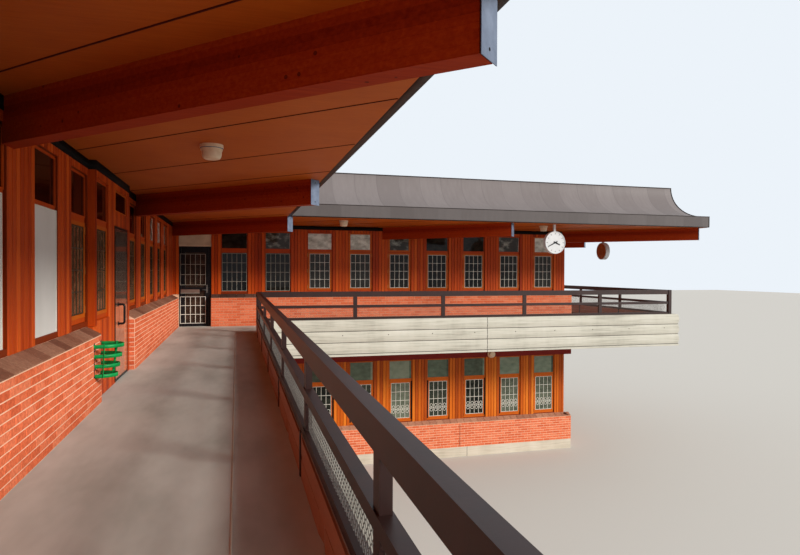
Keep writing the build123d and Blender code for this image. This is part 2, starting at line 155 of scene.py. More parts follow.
# A geometry tree whose inputs are given as labels by kind, with a finish as the last
def newTree(name, **inputs):
    tree = bpy.data.node_groups.new(name, "GeometryNodeTree")
    for kind, labels in (*inputs.items(), ("Material", "Finish")):
        for label in labels.split():
            tree.interface.new_socket(name=label, in_out="INPUT", socket_type="NodeSocket" + kind)
    tree.interface.new_socket(name="Geometry", in_out="OUTPUT", socket_type="NodeSocketGeometry")
    return tree, {socket.name: nodeValue(tree, socket) for socket in tree.nodes.new("NodeGroupInput").outputs}


def endTree(tree, given, geometry):
    real = put(tree, "GeometryNodeRealizeInstances", {"Geometry": geometry})
    dressed = put(tree, "GeometryNodeSetMaterial", {"Geometry": real, "Material": given["Finish"]})
    tree.links.new(dressed.socket, tree.nodes.new("NodeGroupOutput").inputs["Geometry"])
    return tree


def newObject(name, data):
    thing = bpy.data.objects.new(name, data)
    bpy.context.scene.collection.objects.link(thing)
    return thing


# Evaluates a tree on a mesh, or on nothing, and returns a plain mesh
def runTree(tree, values, host=None):
    work = newObject("work", host or bpy.data.meshes.new("work"))
    modifier = work.modifiers.new("work", "NODES")
    modifier.node_group = tree
    for item in tree.interface.items_tree:
        if item.in_out == "INPUT" and item.name in values:
            modifier[item.identifier] = values[item.name]
    depsgraph = bpy.context.evaluated_depsgraph_get()
    mesh = bpy.data.meshes.new_from_object(work.evaluated_get(depsgraph), depsgraph=depsgraph)
    bpy.data.objects.remove(work)
    return mesh


# Joins meshes, each with its own place, in one object; a mesh alone is taken as it stands
def joinParts(name, parts):
    if isinstance(parts, bpy.types.Mesh):
        parts = [(parts, identity)]
    objects = []
    for mesh, place in parts:
        mesh.transform(place)
        objects.append(newObject(name, mesh))
    if len(objects) > 1:
        with bpy.context.temp_override(
            active_object=objects[0], object=objects[0],
            selected_objects=objects, selected_editable_objects=objects,
        ):
            bpy.ops.object.join()
    objects[0].name = name
    return objects[0]


# A piece that rides on the building
def joinPiece(name, parts):
    piece = joinParts(name, parts)
    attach(piece, "root")
    print("  piece", name, len(piece.data.polygons), "faces")
    return piece


patterns = []


# A shape that trees repeat: it is removed before the end
def newPattern(parts):
    pattern = joinParts("pattern", parts)
    pattern.hide_render = True
    patterns.append(pattern)
    return pattern


# A shape laid at points inside a tree
def lay(tree, points, shape, **values):
    return put(tree, "GeometryNodeInstanceOnPoints", {"Points": points, "Instance": shape, **values})


def lineOf(tree, count, start, step):
    return put(tree, "GeometryNodeMeshLine", {"Count": count, "Start Location": start, "Offset": step})


def bothOf(tree, first, second):
    both = put(tree, "GeometryNodeJoinGeometry", {"Geometry": first})
    tree.links.new(second.socket, both.socket.node.inputs["Geometry"])
    return both


def sweep(tree, path, section):
    return put(tree, "GeometryNodeCurveToMesh", {"Curve": path, "Profile Curve": section, "Fill Caps": True})


# Rows of units laid along X, each row a course high, with the ends cut to the length
def courseTree():
    tree, given = newTree(
        "layCourses", Object="Shape", Float="Length Course Unit Joint Proud Bond", Int="Rows Seed"
    )
    length, course, unit, joint = (given[label] for label in ("Length", "Course", "Unit", "Joint"))
    columns = (length / unit).calc("CEIL") + 1.0
    points = put(tree, "GeometryNodePoints", {"Count": given["Rows"] * columns})
    index = put(tree, "GeometryNodeInputIndex")
    row = ((index + 0.5) / columns).calc("FLOOR")
    start = (index - row * columns - row.calc("MODULO", 2.0) * given["Bond"]) * unit
    left = start.calc("MAXIMUM", 0.0)
    right = (start + unit).calc("MINIMUM", length)
    width = right - left - joint
    place = combine(tree, x=(left + right) * 0.5, z=(row + 0.5) * course)
    placed = put(tree, "GeometryNodeSetPosition", {"Geometry": points, "Position": place})
    shape = put(tree, "GeometryNodeObjectInfo", {"Object": given["Shape"]}, "Geometry")
    size = combine(tree, width, given["Proud"], course - joint)
    laid = lay(tree, placed, shape, Scale=size, Selection=width.calc("GREATER_THAN", 0.02))
    toned = put(
        tree, "GeometryNodeStoreNamedAttribute",
        {
            "Geometry": laid, "Name": "tone",
            "Value": put(tree, "FunctionNodeRandomValue", {"Seed": given["Seed"]}, 1, data_type="FLOAT"),
        },
        data_type="FLOAT", domain="INSTANCE",
    )
    return endTree(tree, given, toned)


# A piece set out at points, each turned about Z by the point's own angle
def setOutTree():
    tree, given = newTree("setOut", Geometry="Geometry", Object="Shape")
    angle = put(tree, "GeometryNodeInputNamedAttribute", {"Name": "turn"}, data_type="FLOAT")
    shape = put(tree, "GeometryNodeObjectInfo", {"Object": given["Shape"]}, "Geometry")
    points = put(tree, "GeometryNodeMeshToPoints", {"Mesh": given["Geometry"]})
    return endTree(tree, given, lay(tree, points, shape, Rotation=combine(tree, z=angle)))


# Upright and level bars that divide a field into equal parts, in the plane of X and Z
def barTree():
    tree, given = newTree("barGrid", Float="Width Height Bar Depth", Int="Columns Rows")
    halves = []
    spans = (("Width", "Height", "Columns", 1.0), ("Height", "Width", "Rows", 0.8))
    for axis, (span, other, parts, share) in zip((0, 2), spans):
        start = put(tree, "ShaderNodeCombineXYZ", {axis: given[span] * -0.5})
        step = put(tree, "ShaderNodeCombineXYZ", {axis: given[span] / given[parts]})
        long, thick = given[other] + given["Bar"], given["Depth"] * share
        size = put(tree, "ShaderNodeCombineXYZ", {axis: given["Bar"], 1: thick, 2 - axis: long})
        bar = put(tree, "GeometryNodeMeshCube", {"Size": size})
        halves.append(lay(tree, lineOf(tree, given[parts] + 1.0, start, step), bar))
    return endTree(tree, given, bothOf(tree, *halves))


# A flat bar along every edge of a mesh
def sweepTree():
    tree, given = newTree("sweepEdges", Geometry="Geometry", Float="Width Height")
    path = put(tree, "GeometryNodeMeshToCurve", {"Mesh": given["Geometry"]})
    upright = put(tree, "GeometryNodeSetCurveNormal", {"Curve": path}, mode="Z_UP")
    measures = {label: given[label] for label in ("Width", "Height")}
    section = put(tree, "GeometryNodeCurvePrimitiveQuadrilateral", measures)
    return endTree(tree, given, sweep(tree, upright, section))


# A round bar along every edge of a mesh
def roundTree():
    tree, given = newTree("roundBars", Geometry="Geometry", Float="Radius")
    path = put(tree, "GeometryNodeMeshToCurve", {"Mesh": given["Geometry"]})
    section = put(tree, "GeometryNodeCurvePrimitiveCircle", {"Resolution": 12, "Radius": given["Radius"]})
    return endTree(tree, given, sweep(tree, path, section))


# Diamond mesh along X between two rails: wires that lean both ways, one set just in front of the other
def wireTree():
    tree, given = newTree("wireMesh", Float="Length Height Pitch Wire")
    height, pitch, wire = given["Height"], given["Pitch"], given["Wire"]
    count = ((given["Length"] - height) / pitch).calc("FLOOR")
    sets = []
    for lean in (1, -1):
        start = combine(tree, height * 0.5, wire * (0.5 * lean))
        bar = put(tree, "GeometryNodeMeshCube", {"Size": combine(tree, wire, wire, height * 2**0.5)})
        angles = (0.0, lean * math.radians(45), 0.0)
        leaning = put(tree, "GeometryNodeTransform", {"Geometry": bar, "Rotation": angles})
        sets.append(lay(tree, lineOf(tree, count, start, combine(tree, pitch)), leaning))
    return endTree(tree, given, bothOf(tree, *sets))


# Marks round a dial in the plane of X and Z
def dialTree():
    tree, given = newTree("dialMarks", Int="Count", Float="Radius Long Wide Thick")
    angle = put(tree, "GeometryNodeInputIndex") / given["Count"] * (2 * math.pi)
    x, z = (angle.calc(operation) * given["Radius"] for operation in ("SINE", "COSINE"))
    points = put(tree, "GeometryNodePoints", {"Count": given["Count"], "Position": combine(tree, x=x, z=z)})
    size = combine(tree, given["Wide"], given["Thick"], given["Long"])
    mark = put(tree, "GeometryNodeMeshCube", {"Size": size})
    return endTree(tree, given, lay(tree, points, mark, Rotation=combine(tree, y=angle)))


layCourses, setOut, barGrid, sweepEdges = courseTree(), setOutTree(), barTree(), sweepTree()
roundBars, wireMesh, dialMarks = roundTree(), wireTree(), dialTree()
print("stage 2: the geometry trees are built")


# Plain meshes
def meshOf(points, faces, edges=()):
    mesh = bpy.data.meshes.new("shape")
    mesh.from_pydata(points, edges, faces)
    return mesh


def dress(mesh, finish):
    mesh.materials.clear()
    mesh.materials.append(finish)
    return mesh


# The four side faces of a box whose corners are listed end after end
boxSides = [(i, (i + 1) % 4, 4 + (i + 1) % 4, 4 + i) for i in range(4)]


# A unit's front and its slanting sides: X and Z from -0.5 to 0.5, the front at Y = -1
def frontShape(insetX, insetZ):
    back = [(-0.5, 0, -0.5), (0.5, 0, -0.5), (0.5, 0, 0.5), (-0.5, 0, 0.5)]
    front = [(x - math.copysign(insetX, x), -1, z - math.copysign(insetZ, z)) for x, y, z in back]
    return meshOf(back + front, [(4, 5, 6, 7), *boxSides])


# The same shape at its size: a plate whose back is at Y = 0
def slab(wide, thick, high, finish, insetX=0.001, insetZ=0.001):
    mesh = frontShape(insetX, insetZ)
    mesh.transform(Matrix.Diagonal((wide, thick, high, 1)))
    return dress(mesh, finish)


# A profile of (radius, depth) turned round Y; the first and the last radius may be 0
def turnedMesh(profile, steps=24):
    points, faces, rings = [], [], []
    for radius, depth in profile:
        if radius == 0:
            rings.append([len(points)] * steps)
            points.append((0, depth, 0))
        else:
            rings.append(list(range(len(points), len(points) + steps)))
            for i in range(steps):
                a = 2 * math.pi * i / steps
                points.append((radius * math.sin(a), depth, radius * math.cos(a)))
    for low, high in zip(rings, rings[1:]):
        for i in range(steps):
            j = (i + 1) % steps
            face = [low[i], low[j], high[j], high[i]]
            face = [v for k, v in enumerate(face) if v != face[k - 1]]
            if len(set(face)) > 2:
                faces.append(tuple(dict.fromkeys(face)))
    return meshOf(points, faces)


# Edges of separate paths, in metres in the model's frame
def pathMesh(paths, closed=False):
    points, edges = [], []
    for path in paths:
        first = len(points)
        points += [tuple(p) for p in path]
        edges += [(first + i, first + i + 1) for i in range(len(path) - 1)]
        if closed:
            edges.append((len(points) - 1, first))
    return meshOf(points, [], edges)


def boxMesh(x0, x1, y0, y1, z0, z1, finish):
    points = [(x, y, z) for z in (z0, z1) for x, y in ((x0, y0), (x1, y0), (x1, y1), (x0, y1))]
    return dress(meshOf(points, [(3, 2, 1, 0), (4, 5, 6, 7), *boxSides]), finish)


# The trees at work: courses of units, bars that divide a field, flat and round bars along paths
def courses(shape, length, course, look, seed, finish, rows=1):
    values = {"Shape": shape, "Length": length, "Course": course, "Rows": rows, "Seed": seed}
    values["Finish"] = finish
    for key in ("unit", "joint", "proud", "bond"):
        values[key.capitalize()] = look[key]
    return runTree(layCourses, values)


def grid(width, height, bar, depth, finish, columns=1, rows=1):
    values = {"Width": width, "Height": height, "Bar": bar, "Depth": depth, "Finish": finish}
    return runTree(barGrid, {**values, "Columns": columns, "Rows": rows})


def trim(paths, width, height, finish, closed=False):
    return runTree(sweepEdges, {"Width": width, "Height": height, "Finish": finish}, pathMesh(paths, closed))


def rods(paths, radius, finish, closed=False):
    return runTree(roundBars, {"Radius": radius, "Finish": finish}, pathMesh(paths, closed))


# A shape, or a pattern that is used again, set out at places given as (side, s, n, z)
def setAll(shape, finish, places):
    pattern = shape if isinstance(shape, bpy.types.Object) else newPattern(shape)
    host = meshOf([tuple(standing(*place).translation) for place in places], [])
    turn = host.attributes.new("turn", "FLOAT", "POINT")
    for item, place in zip(turn.data, places):
        item.value = math.radians(sides[place[0]]["angle"])
    return runTree(setOut, {"Shape": pattern, "Finish": finish}, host)


# Finishes
def srgb(*colour):
    shares = [v / 255 for v in colour]
    return (*(v / 12.92 if v <= 0.04045 else ((v + 0.055) / 1.055) ** 2.4 for v in shares), 1.0)


def newFinish(name, roughness, metallic=0.0, specular=0.14):
    finish = bpy.data.materials.new(name)
    finish.use_nodes = True
    shader = finish.node_tree.nodes["Principled BSDF"]
    shader.inputs["Roughness"].default_value = roughness
    shader.inputs["Metallic"].default_value = metallic
    shader.inputs["Specular IOR Level"].default_value = specular
    return finish, finish.node_tree, shader


def position(tree, stretch=(1, 1, 1), turn=0.0):
    coordinates = put(tree, "ShaderNodeTexCoord", out="Object")
    return put(tree, "ShaderNodeMapping", {"Vector": coordinates, "Scale": stretch, "Rotation": (0, 0, turn)})


def separate(tree):
    first = put(tree, "ShaderNodeSeparateXYZ", {0: position(tree)})
    return [nodeValue(tree, socket) for socket in first.socket.node.outputs]


def speckle(tree, scale, stretch=(1, 1, 1), detail=4.0, turn=0.0):
    values = {"Vector": position(tree, stretch, turn), "Scale": scale, "Detail": detail, "Roughness": 0.6}
    return put(tree, "ShaderNodeTexNoise", values)


def chance(tree, number):
    return put(tree, "ShaderNodeTexWhiteNoise", {"W": number.calc("FLOOR")}, noise_dimensions="1D")


def toneOf(tree):
    return put(tree, "ShaderNodeAttribute", out="Fac", attribute_name="tone")


def ramp(value, stops):
    output = put(value.tree, "ShaderNodeValToRGB", {"Fac": value})
    band = output.socket.node.color_ramp
    while len(band.elements) < len(stops):
        band.elements.new(0.5)
    for element, (place, tint) in zip(band.elements, stops.items()):
        element.position = place
        element.color = srgb(*tint)
    return output


def mixed(factor, a, b, mode="MIX"):
    return put(a.tree, "ShaderNodeMix", {0: factor, 6: a, 7: b}, 2, data_type="RGBA", blend_type=mode)


def paint(shader, base, height=None, strength=0.25, distance=0.004):
    base.tree.links.new(base.socket, shader.inputs["Base Color"])
    if height:
        values = {"Height": height, "Strength": strength, "Distance": distance}
        bump = put(base.tree, "ShaderNodeBump", values)
        base.tree.links.new(bump.socket, shader.inputs["Normal"])


brickLook = {
    "tones": {0.0: (218, 104, 64), 0.3: (229, 115, 73), 0.65: (236, 125, 84), 1.0: (239, 138, 98)},
    "mortar": {0.3: (214, 172, 140), 0.7: (232, 196, 168)},
    # Darker mortar above a height: painted shade under the roof
    "duskMortar": {0.3: (192, 138, 108), 0.7: (208, 154, 124)},
    "sill": {0.0: (120, 76, 58), 0.5: (144, 98, 76), 1.0: (164, 120, 96)},
    "lowerSill": {0.0: (168, 116, 92), 0.5: (184, 130, 104), 1.0: (196, 144, 116)},
    "darkSill": {0.0: (76, 54, 46), 0.5: (94, 68, 58), 1.0: (112, 84, 72)},
    "duskAbove": 3.0,
}


def brickFinish(name, tones, roughness=0.7):
    finish, tree, shader = newFinish(name, roughness)
    shade = ramp(speckle(tree, 38.0), {0.25: (196, 186, 182), 0.75: (255, 255, 255)})
    base = mixed(1.0, ramp(toneOf(tree), brickLook[tones]), shade, "MULTIPLY")
    paint(shader, base, speckle(tree, 260.0), 0.35)
    return finish


# Two tones, or stops of more, in clouds; the shade stops count above a height and paint shade there
def plainFinish(
    name, tones, scale, roughness=0.8, bump=0.25, stretch=(1, 1, 1), grit=120.0, dusk=None, **shine
):
    finish, tree, shader = newFinish(name, roughness, **shine)
    cloud = speckle(tree, scale, stretch)
    base = ramp(cloud, tones if isinstance(tones, dict) else dict(zip((0.3, 0.7), tones)))
    if dusk:
        above = separate(tree)[2].calc("GREATER_THAN", brickLook["duskAbove"])
        base = mixed(above, base, ramp(cloud, dusk))
    paint(shader, base, bump and speckle(tree, grit), bump)
    return finish


# Wood: long grain along the stretch, a tone for each board, and a thin lacquer
def woodFinish(name, tones, stretch=(9, 9, 0.35), turn=0.0, useTone=False, roughness=0.45):
    finish, tree, shader = newFinish(name, roughness)
    grain = speckle(tree, 9.0, stretch, 6.0, turn)
    cloud = speckle(tree, 1.7, (1, 1, 0.35), 3.0)
    share = toneOf(tree) * 0.45 if useTone else 0.2
    paint(shader, ramp(grain * 0.42 + cloud * 0.32 + share, tones), grain, 0.12, 0.003)
    return finish


brickFront = brickFinish("brickFront", "tones", 0.85)
sillTile = brickFinish("sillTile", "sill")
lowerSillTile = brickFinish("lowerSillTile", "lowerSill")
darkSillTile = brickFinish("darkSillTile", "darkSill")
mortar = plainFinish("mortar", brickLook["mortar"], 14.0)
# The yard front of wing B has darker mortar under the roof than in the lower storey: painted shade
duskMortar = plainFinish("frontMortar", brickLook["mortar"], 14.0, dusk=brickLook["duskMortar"])
woodLook = {
    "upper": {0.2: (112, 32, 6), 0.45: (166, 56, 10), 0.7: (194, 76, 16), 0.95: (212, 98, 30)},
    "lower": {0.2: (120, 46, 6), 0.45: (174, 76, 12), 0.7: (200, 100, 20), 0.95: (218, 128, 40)},
    # The seam tones paint the shade in the gaps between boards
    "seam": {0.2: (72, 20, 4), 0.45: (108, 35, 7), 0.7: (128, 47, 10), 0.95: (144, 62, 18)},
    "lining": {0.2: (124, 74, 52), 0.5: (160, 104, 76), 0.9: (186, 130, 98)},
    "soffit": {0.2: (124, 52, 10), 0.5: (168, 78, 16), 0.9: (196, 102, 28)},
    "head": {0.2: (84, 14, 10), 0.5: (116, 24, 16), 0.9: (140, 40, 26)},
}
diagonal = math.radians(45)
upperBoard = woodFinish("upperBoard", woodLook["upper"], useTone=True)
lowerBoard = woodFinish("lowerBoard", woodLook["lower"], useTone=True)
bandWood = woodFinish("bandWood", woodLook["upper"])
# Darker wood for what shows in the gaps between boards: painted shade in the gaps
seamWood = woodFinish("seamWood", woodLook["seam"])
sashWood = woodFinish("sashWood", woodLook["lower"], (8, 8, 0.5), roughness=0.4)
liningWood = woodFinish("liningWood", woodLook["lining"], (2, 2, 6))
soffitPly = woodFinish("soffitPly", woodLook["soffit"], (0.35, 5, 1), diagonal, roughness=0.55)
headPaint = woodFinish("headPaint", woodLook["head"], (0.5, 0.5, 6), roughness=0.5)

glueLook = {
    "tones": {0.2: (118, 28, 6), 0.5: (150, 46, 11), 0.85: (182, 71, 20)}, "board": 0.0444,
    "seam": (60, 18, 10), "seamShare": 0.05, "knot": (58, 12, 4), "knotScale": 7.0, "knotSize": 0.085,
}


# Glued beams: boards about 45 mm thick with their own tones, thin joints and a few knots
def beamFinish():
    finish, tree, shader = newFinish("beamWood", 0.6, specular=0.06)
    grain = speckle(tree, 7.0, (0.3, 7, 7), 6.0, diagonal)
    board = separate(tree)[2] / glueLook["board"]
    base = ramp(grain * 0.6 + chance(tree, board) * 0.3, glueLook["tones"])
    seam = board.calc("FRACT").calc("LESS_THAN", glueLook["seamShare"])
    base = mixed(seam * 0.22, base, srgb(*glueLook["seam"]))
    values = {"Vector": position(tree), "Scale": glueLook["knotScale"]}
    knot = put(tree, "ShaderNodeTexVoronoi", values, "Distance").calc("LESS_THAN", glueLook["knotSize"])
    paint(shader, mixed(knot * 0.7, base, srgb(*glueLook["knot"])), grain, 0.1, 0.003)
    return finish


# Concrete cast against rough boards: level streaks and faint stains
def castFinish(name, stops):
    finish, tree, shader = newFinish(name, 0.8, specular=0.15)
    streak = speckle(tree, 3.25, (0.35, 0.35, 8), 5.0)
    stain = speckle(tree, 1.3, (1, 1, 0.25))
    paint(shader, ramp(streak * 0.55 + stain * 0.45, stops), streak, 0.3, 0.006)
    return finish


sheetLook = {
    "tones": {0.3: (110, 102, 100), 0.5: (116, 108, 106), 0.75: (123, 115, 113)}, "sheet": 0.62,
    "fascia": (36, 33, 33), "fasciaTop": 7.32, "seam": (84, 78, 78), "seamShare": 0.03,
}


# Sheet roofing with a faint standing line at each joint along the eave, and a darker fascia
def sheetFinish(name, axis):
    finish, tree, shader = newFinish(name, 0.55)
    split = separate(tree)
    along = split[axis] / sheetLook["sheet"]
    streak = speckle(tree, 2.4, (6, 1, 1) if axis == 0 else (1, 6, 1), 5.0)
    base = ramp(streak * 0.55 + chance(tree, along) * 0.35, sheetLook["tones"])
    low = split[2].calc("LESS_THAN", sheetLook["fasciaTop"])
    base = mixed(low * 0.5, base, srgb(*sheetLook["fascia"]))
    seam = along.calc("FRACT").calc("LESS_THAN", sheetLook["seamShare"])
    paint(shader, mixed(seam * 0.35, base, srgb(*sheetLook["seam"])), streak - seam, 0.2)
    return finish


beamWood = beamFinish()
parapetCast = castFinish("parapetCast", {0.3: (146, 142, 130), 0.48: (184, 180, 166), 0.7: (200, 196, 184)})
plinthCast = castFinish("plinthCast", {0.3: (168, 158, 140), 0.5: (194, 184, 166), 0.7: (210, 202, 186)})
floorTones = {0.3: (174, 174, 164), 0.5: (194, 194, 184), 0.72: (208, 208, 198)}
floorCast = plainFinish("floorCast", floorTones, 1.6, stretch=(1, 0.35, 1))
wallRender = plainFinish("wallRender", {0.35: (186, 178, 164), 0.65: (208, 202, 188)}, 2.2, bump=0.35)
deckFelt = plainFinish("deckFelt", {0.35: (88, 86, 86), 0.65: (112, 110, 108)}, 3.0, 0.9)
sheetAlongX = sheetFinish("sheetAlongX", 0)
sheetAlongY = sheetFinish("sheetAlongY", 1)
darkTrim = plainFinish("darkTrim", ((34, 26, 26), (52, 42, 40)), 8.0, 0.5, 0.1)
# Black for painted shade in gaps, strips and holes
recessBlack = plainFinish("recessBlack", ((12, 10, 10), (24, 18, 16)), 12.0)
jointRed = plainFinish("jointRed", ((58, 10, 8), (74, 16, 12)), 12.0, 0.7)
railSteel = plainFinish("railSteel", ((34, 15, 11), (48, 24, 19)), 5.0, 0.42, 0.05, grit=60.0, specular=0.32)
wireSteel = plainFinish("wireSteel", ((78, 74, 70), (128, 124, 118)), 30.0, 0.35, 0, metallic=0.3)
capSteel = plainFinish("capSteel", ((84, 94, 112), (112, 122, 140)), 9.0, 0.45, 0.05, metallic=0.3)
doorBlack = plainFinish("doorBlack", ((16, 15, 17), (30, 28, 31)), 7.0, 0.35, 0.05)
grilleWhite = plainFinish("grilleWhite", ((206, 202, 188), (226, 223, 212)), 9.0, 0.45, 0.05)
# A grey copy of the white grille for grilles that stand in shade: painted shade
grilleGrey = plainFinish("grilleGrey", ((150, 146, 132), (172, 168, 154)), 9.0, 0.45, 0.05)
# A dark copy of the white grille for wing A's upper windows under the roof: painted shade
grilleDim = plainFinish("grilleDim", ((60, 50, 36), (78, 66, 50)), 9.0, 0.45, 0.05)
plateBrown = plainFinish("plateBrown", ((104, 82, 72), (126, 104, 94)), 9.0, 0.4, 0.05)
blindWhite = plainFinish("blindWhite", ((200, 198, 190), (214, 212, 206)), 2.0, 0.7, 0.1, (1, 1, 0.3))
panelWhite = plainFinish("panelWhite", ((206, 182, 150), (224, 202, 172)), 4.0, 0.6, 0.1)
clockWhite = plainFinish("clockWhite", ((196, 196, 196), (206, 206, 206)), 8.0, 0.3, 0.02)
clockDark = plainFinish("clockDark", ((20, 20, 24), (34, 34, 38)), 20.0, 0.4, 0.02)
lampOpal = plainFinish("lampOpal", ((210, 184, 154), (226, 204, 176)), 12.0, 0.3, 0.02)
binGreen = plainFinish("binGreen", ((4, 112, 52), (18, 146, 74)), 14.0, 0.35, 0.05)
drumBrown = plainFinish("drumBrown", ((158, 84, 42), (192, 112, 64)), 9.0, 0.3, 0.05)
hingeBrass = plainFinish("hingeBrass", ((170, 120, 60), (206, 156, 88)), 30.0, 0.35, 0, metallic=0.8)

# Panes: tones below and above a split in height, which paint reflections of the sky and the walls and the
# shade of the rooms behind. A swing gives each window its own reflected tone, and the shaded pair paints the
# roof's shade and reflected timber on wing A.
glassLook = {
    "upperGlass": {
        "split": storeys["upper"]["transomFoot"], "swing": (4.5, 1.05),
        "low": {0.3: (16, 14, 12), 0.6: (30, 28, 24), 0.9: (54, 52, 46)},
        "high": {0.3: (24, 20, 16), 0.6: (62, 58, 50), 0.76: (172, 174, 162), 0.9: (226, 230, 220)},
        "shadedLow": {0.35: (82, 54, 34), 0.6: (128, 92, 64)},
        "shadedHigh": {0.35: (14, 6, 4), 0.6: (28, 14, 9)},
    },
    "lowerGlass": {
        "split": storeys["lower"]["transomFoot"], "swing": (6, 1.8),
        "low": {0.3: (18, 18, 15), 0.6: (56, 60, 50), 0.9: (102, 108, 92)},
        "high": {0.3: (70, 78, 64), 0.6: (100, 116, 98), 0.9: (140, 152, 132)},
    },
    "doorGlass": {
        "split": 5.2, "swing": (4.5, 1.05), "darkFront": True,
        "low": {0.3: (148, 80, 54), 0.8: (204, 128, 94)},
        "high": {0.3: (44, 34, 28), 0.8: (112, 88, 74)},
    },
}


def glassFinish(name):
    finish, tree, shader = newFinish(name, 0.06)
    look = glassLook[name]
    x, y, z = separate(tree)
    window = ((x + y) / house["module"]).calc("FLOOR")
    # Each window's own tone is a painted reflection that differs from window to window
    own = ((window - look["swing"][0]) * look["swing"][1]).calc("COSINE").calc("MULTIPLY_ADD", 0.26, 0.3)
    cloud = speckle(tree, 5.0, (1, 1, 1.6), 6.0)
    tone = own + cloud * 0.6
    above = z.calc("GREATER_THAN", look["split"])
    # The door of wing B takes the dark tones throughout: painted shade of the room behind
    if "darkFront" in look:
        above = above.calc("MAXIMUM", y.calc("GREATER_THAN", 0.0))
    base = mixed(above, ramp(tone, look["low"]), ramp(tone, look["high"]))
    # Wing A: painted shade under the roof, with brown painted reflections in the casements
    if "shadedLow" in look:
        shaded = mixed(above, ramp(cloud, look["shadedLow"]), ramp(cloud, look["shadedHigh"]))
        base = mixed(y.calc("LESS_THAN", 0.0), base, shaded)
    paint(shader, base)
    return finish


upperGlass, lowerGlass, doorGlass = (glassFinish(name) for name in glassLook)

# What the model's own nodes wear, by how their names start; the first that fits counts
nodeFinishes = (
    (duskMortar, "brick_yard_b"), (mortar, "brick_"), (wallRender, "party_wall"), (seamWood, "timber_"),
    (headPaint, "head_beam_"), (bandWood, "door_screen upper_window_frames"),
    (sashWood, "lower_window_frames"), (lowerGlass, "lower_window_panes"),
    (upperGlass, "upper_window_panes"), (doorGlass, "door_panes"), (parapetCast, "parapet_"),
    (plinthCast, "ground_floor"), (floorCast, "upper_floor gallery_floor"), (soffitPly, "ceiling_"),
    (sheetAlongX, "cove_yard_b cove_rear"), (sheetAlongY, "cove_yard_a cove_outer roof_ends"),
    (deckFelt, "deck_"), (railSteel, "railing_"), (doorBlack, "door_frames door_leaves door_handle"),
    (panelWhite, "door_head_panels"), (beamWood, "beams"), (capSteel, "beam_caps"),
    (clockWhite, "clock hanging_drum"), (lampOpal, "soffit_lamps wall_lamp"), (binGreen, "litter_bin"),
)
for nodeName, node in nodes.items():
    dress(node.data, next(f for f, starts in nodeFinishes if nodeName.startswith(tuple(starts.split()))))
print("stage 3: finishes are on the model's own nodes")

# Camera, floor and light
view = {
    "place": (1.53, -17.40, 5.71), "yaw": 15.154, "pitch": -0.603, "roll": 0.217, "focal": 603.3,
    "pixels": 800, "sensor": 36, "clip": (0.05, 400), "floor": (196, 191, 183), "floorReach": 150,
    "sky": (236, 243, 250), "worldStrength": 0.8, "sunStrength": 4.15, "sunAngle": 14,
    "sunFrom": (0.68, -0.64, 0.38), "sunColour": (1.0, 0.965, 0.92),
}
cameraData = bpy.data.cameras.new("camera")
cameraData.sensor_width = view["sensor"]
cameraData.lens = view["focal"] / view["pixels"] * view["sensor"]
cameraData.clip_start, cameraData.clip_end = view["clip"]
camera = newObject("camera", cameraData)
camera.matrix_world = (
    Matrix.Translation(at(*view["place"]))
    @ turnBy(-view["yaw"]) @ turnBy(90 + view["pitch"], "X") @ turnBy(view["roll"])
)
scene = bpy.context.scene
scene.camera = camera
scene.view_settings.view_transform = "Standard"

reach = view["floorReach"]
groundPale = plainFinish("groundPale", (view["floor"], view["floor"]), 1.0, 0.9, 0)
ground = newObject("ground", boxMesh(-reach, reach, -reach, reach, -0.3, 0, groundPale))

scene.world = bpy.data.worlds.new("world")
scene.world.use_nodes = True
sky = scene.world.node_tree
air = sky.nodes["Background"]
air.inputs["Color"].default_value = srgb(*view["sky"])
# What the camera and the reflections see of the sky is at full strength
seen = put(sky, "ShaderNodeLightPath", out="Is Camera Ray")
seen = seen.calc("MAXIMUM", nodeValue(sky, seen.socket.node.outputs["Is Glossy Ray"]))
power = seen * (1 - view["worldStrength"]) + view["worldStrength"]
sky.links.new(power.socket, air.inputs["Strength"])
sunData = bpy.data.lights.new("sun", "SUN")
sunData.energy = view["sunStrength"]
sunData.angle = math.radians(view["sunAngle"])
sunData.color = view["sunColour"]
sun = newObject("sun", sunData)
sun.rotation_mode = "QUATERNION"
sun.rotation_quaternion = Vector(view["sunFrom"]).to_track_quat("Z", "Y")
print("stage 4: camera, floor and light")

# Brick facings, and the sills that slope over them
brickwork = {"unit": 0.225, "joint": 0.011, "proud": 0.006, "bond": 0.5, "endB": 0.19}
sillwork = {
    "unit": 0.225, "joint": 0.008, "proud": 0.012, "bond": 0.0, "rise": 0.095, "run": 0.17, "seedStep": 50,
}
brickShape = newPattern(frontShape(0.012, 0.04))


# The stretches of brick of a side in one storey
def brickStretches(sideName, storeyName):
    length = sides[sideName]["length"]
    if sideName == "yardA":
        if storeyName == "upper":
            return [(house["partyWall"], house["bayStart"]), (house["bayEnd"], length)]
        return [(house["partyWall"], length)]
    if sideName == "yardB" and storeyName == "upper":
        return [(house["doorBWidth"], length)]
    if sideName == "outerA":
        return [(0, length - house["partyWall"])]
    return [(0, length)]


def brickRun(length, storey, seed):
    course = (storey["sill"] - storey["foot"]) / storey["courses"]
    return courses(brickShape, length, course, brickwork, seed, brickFront, storey["courses"])


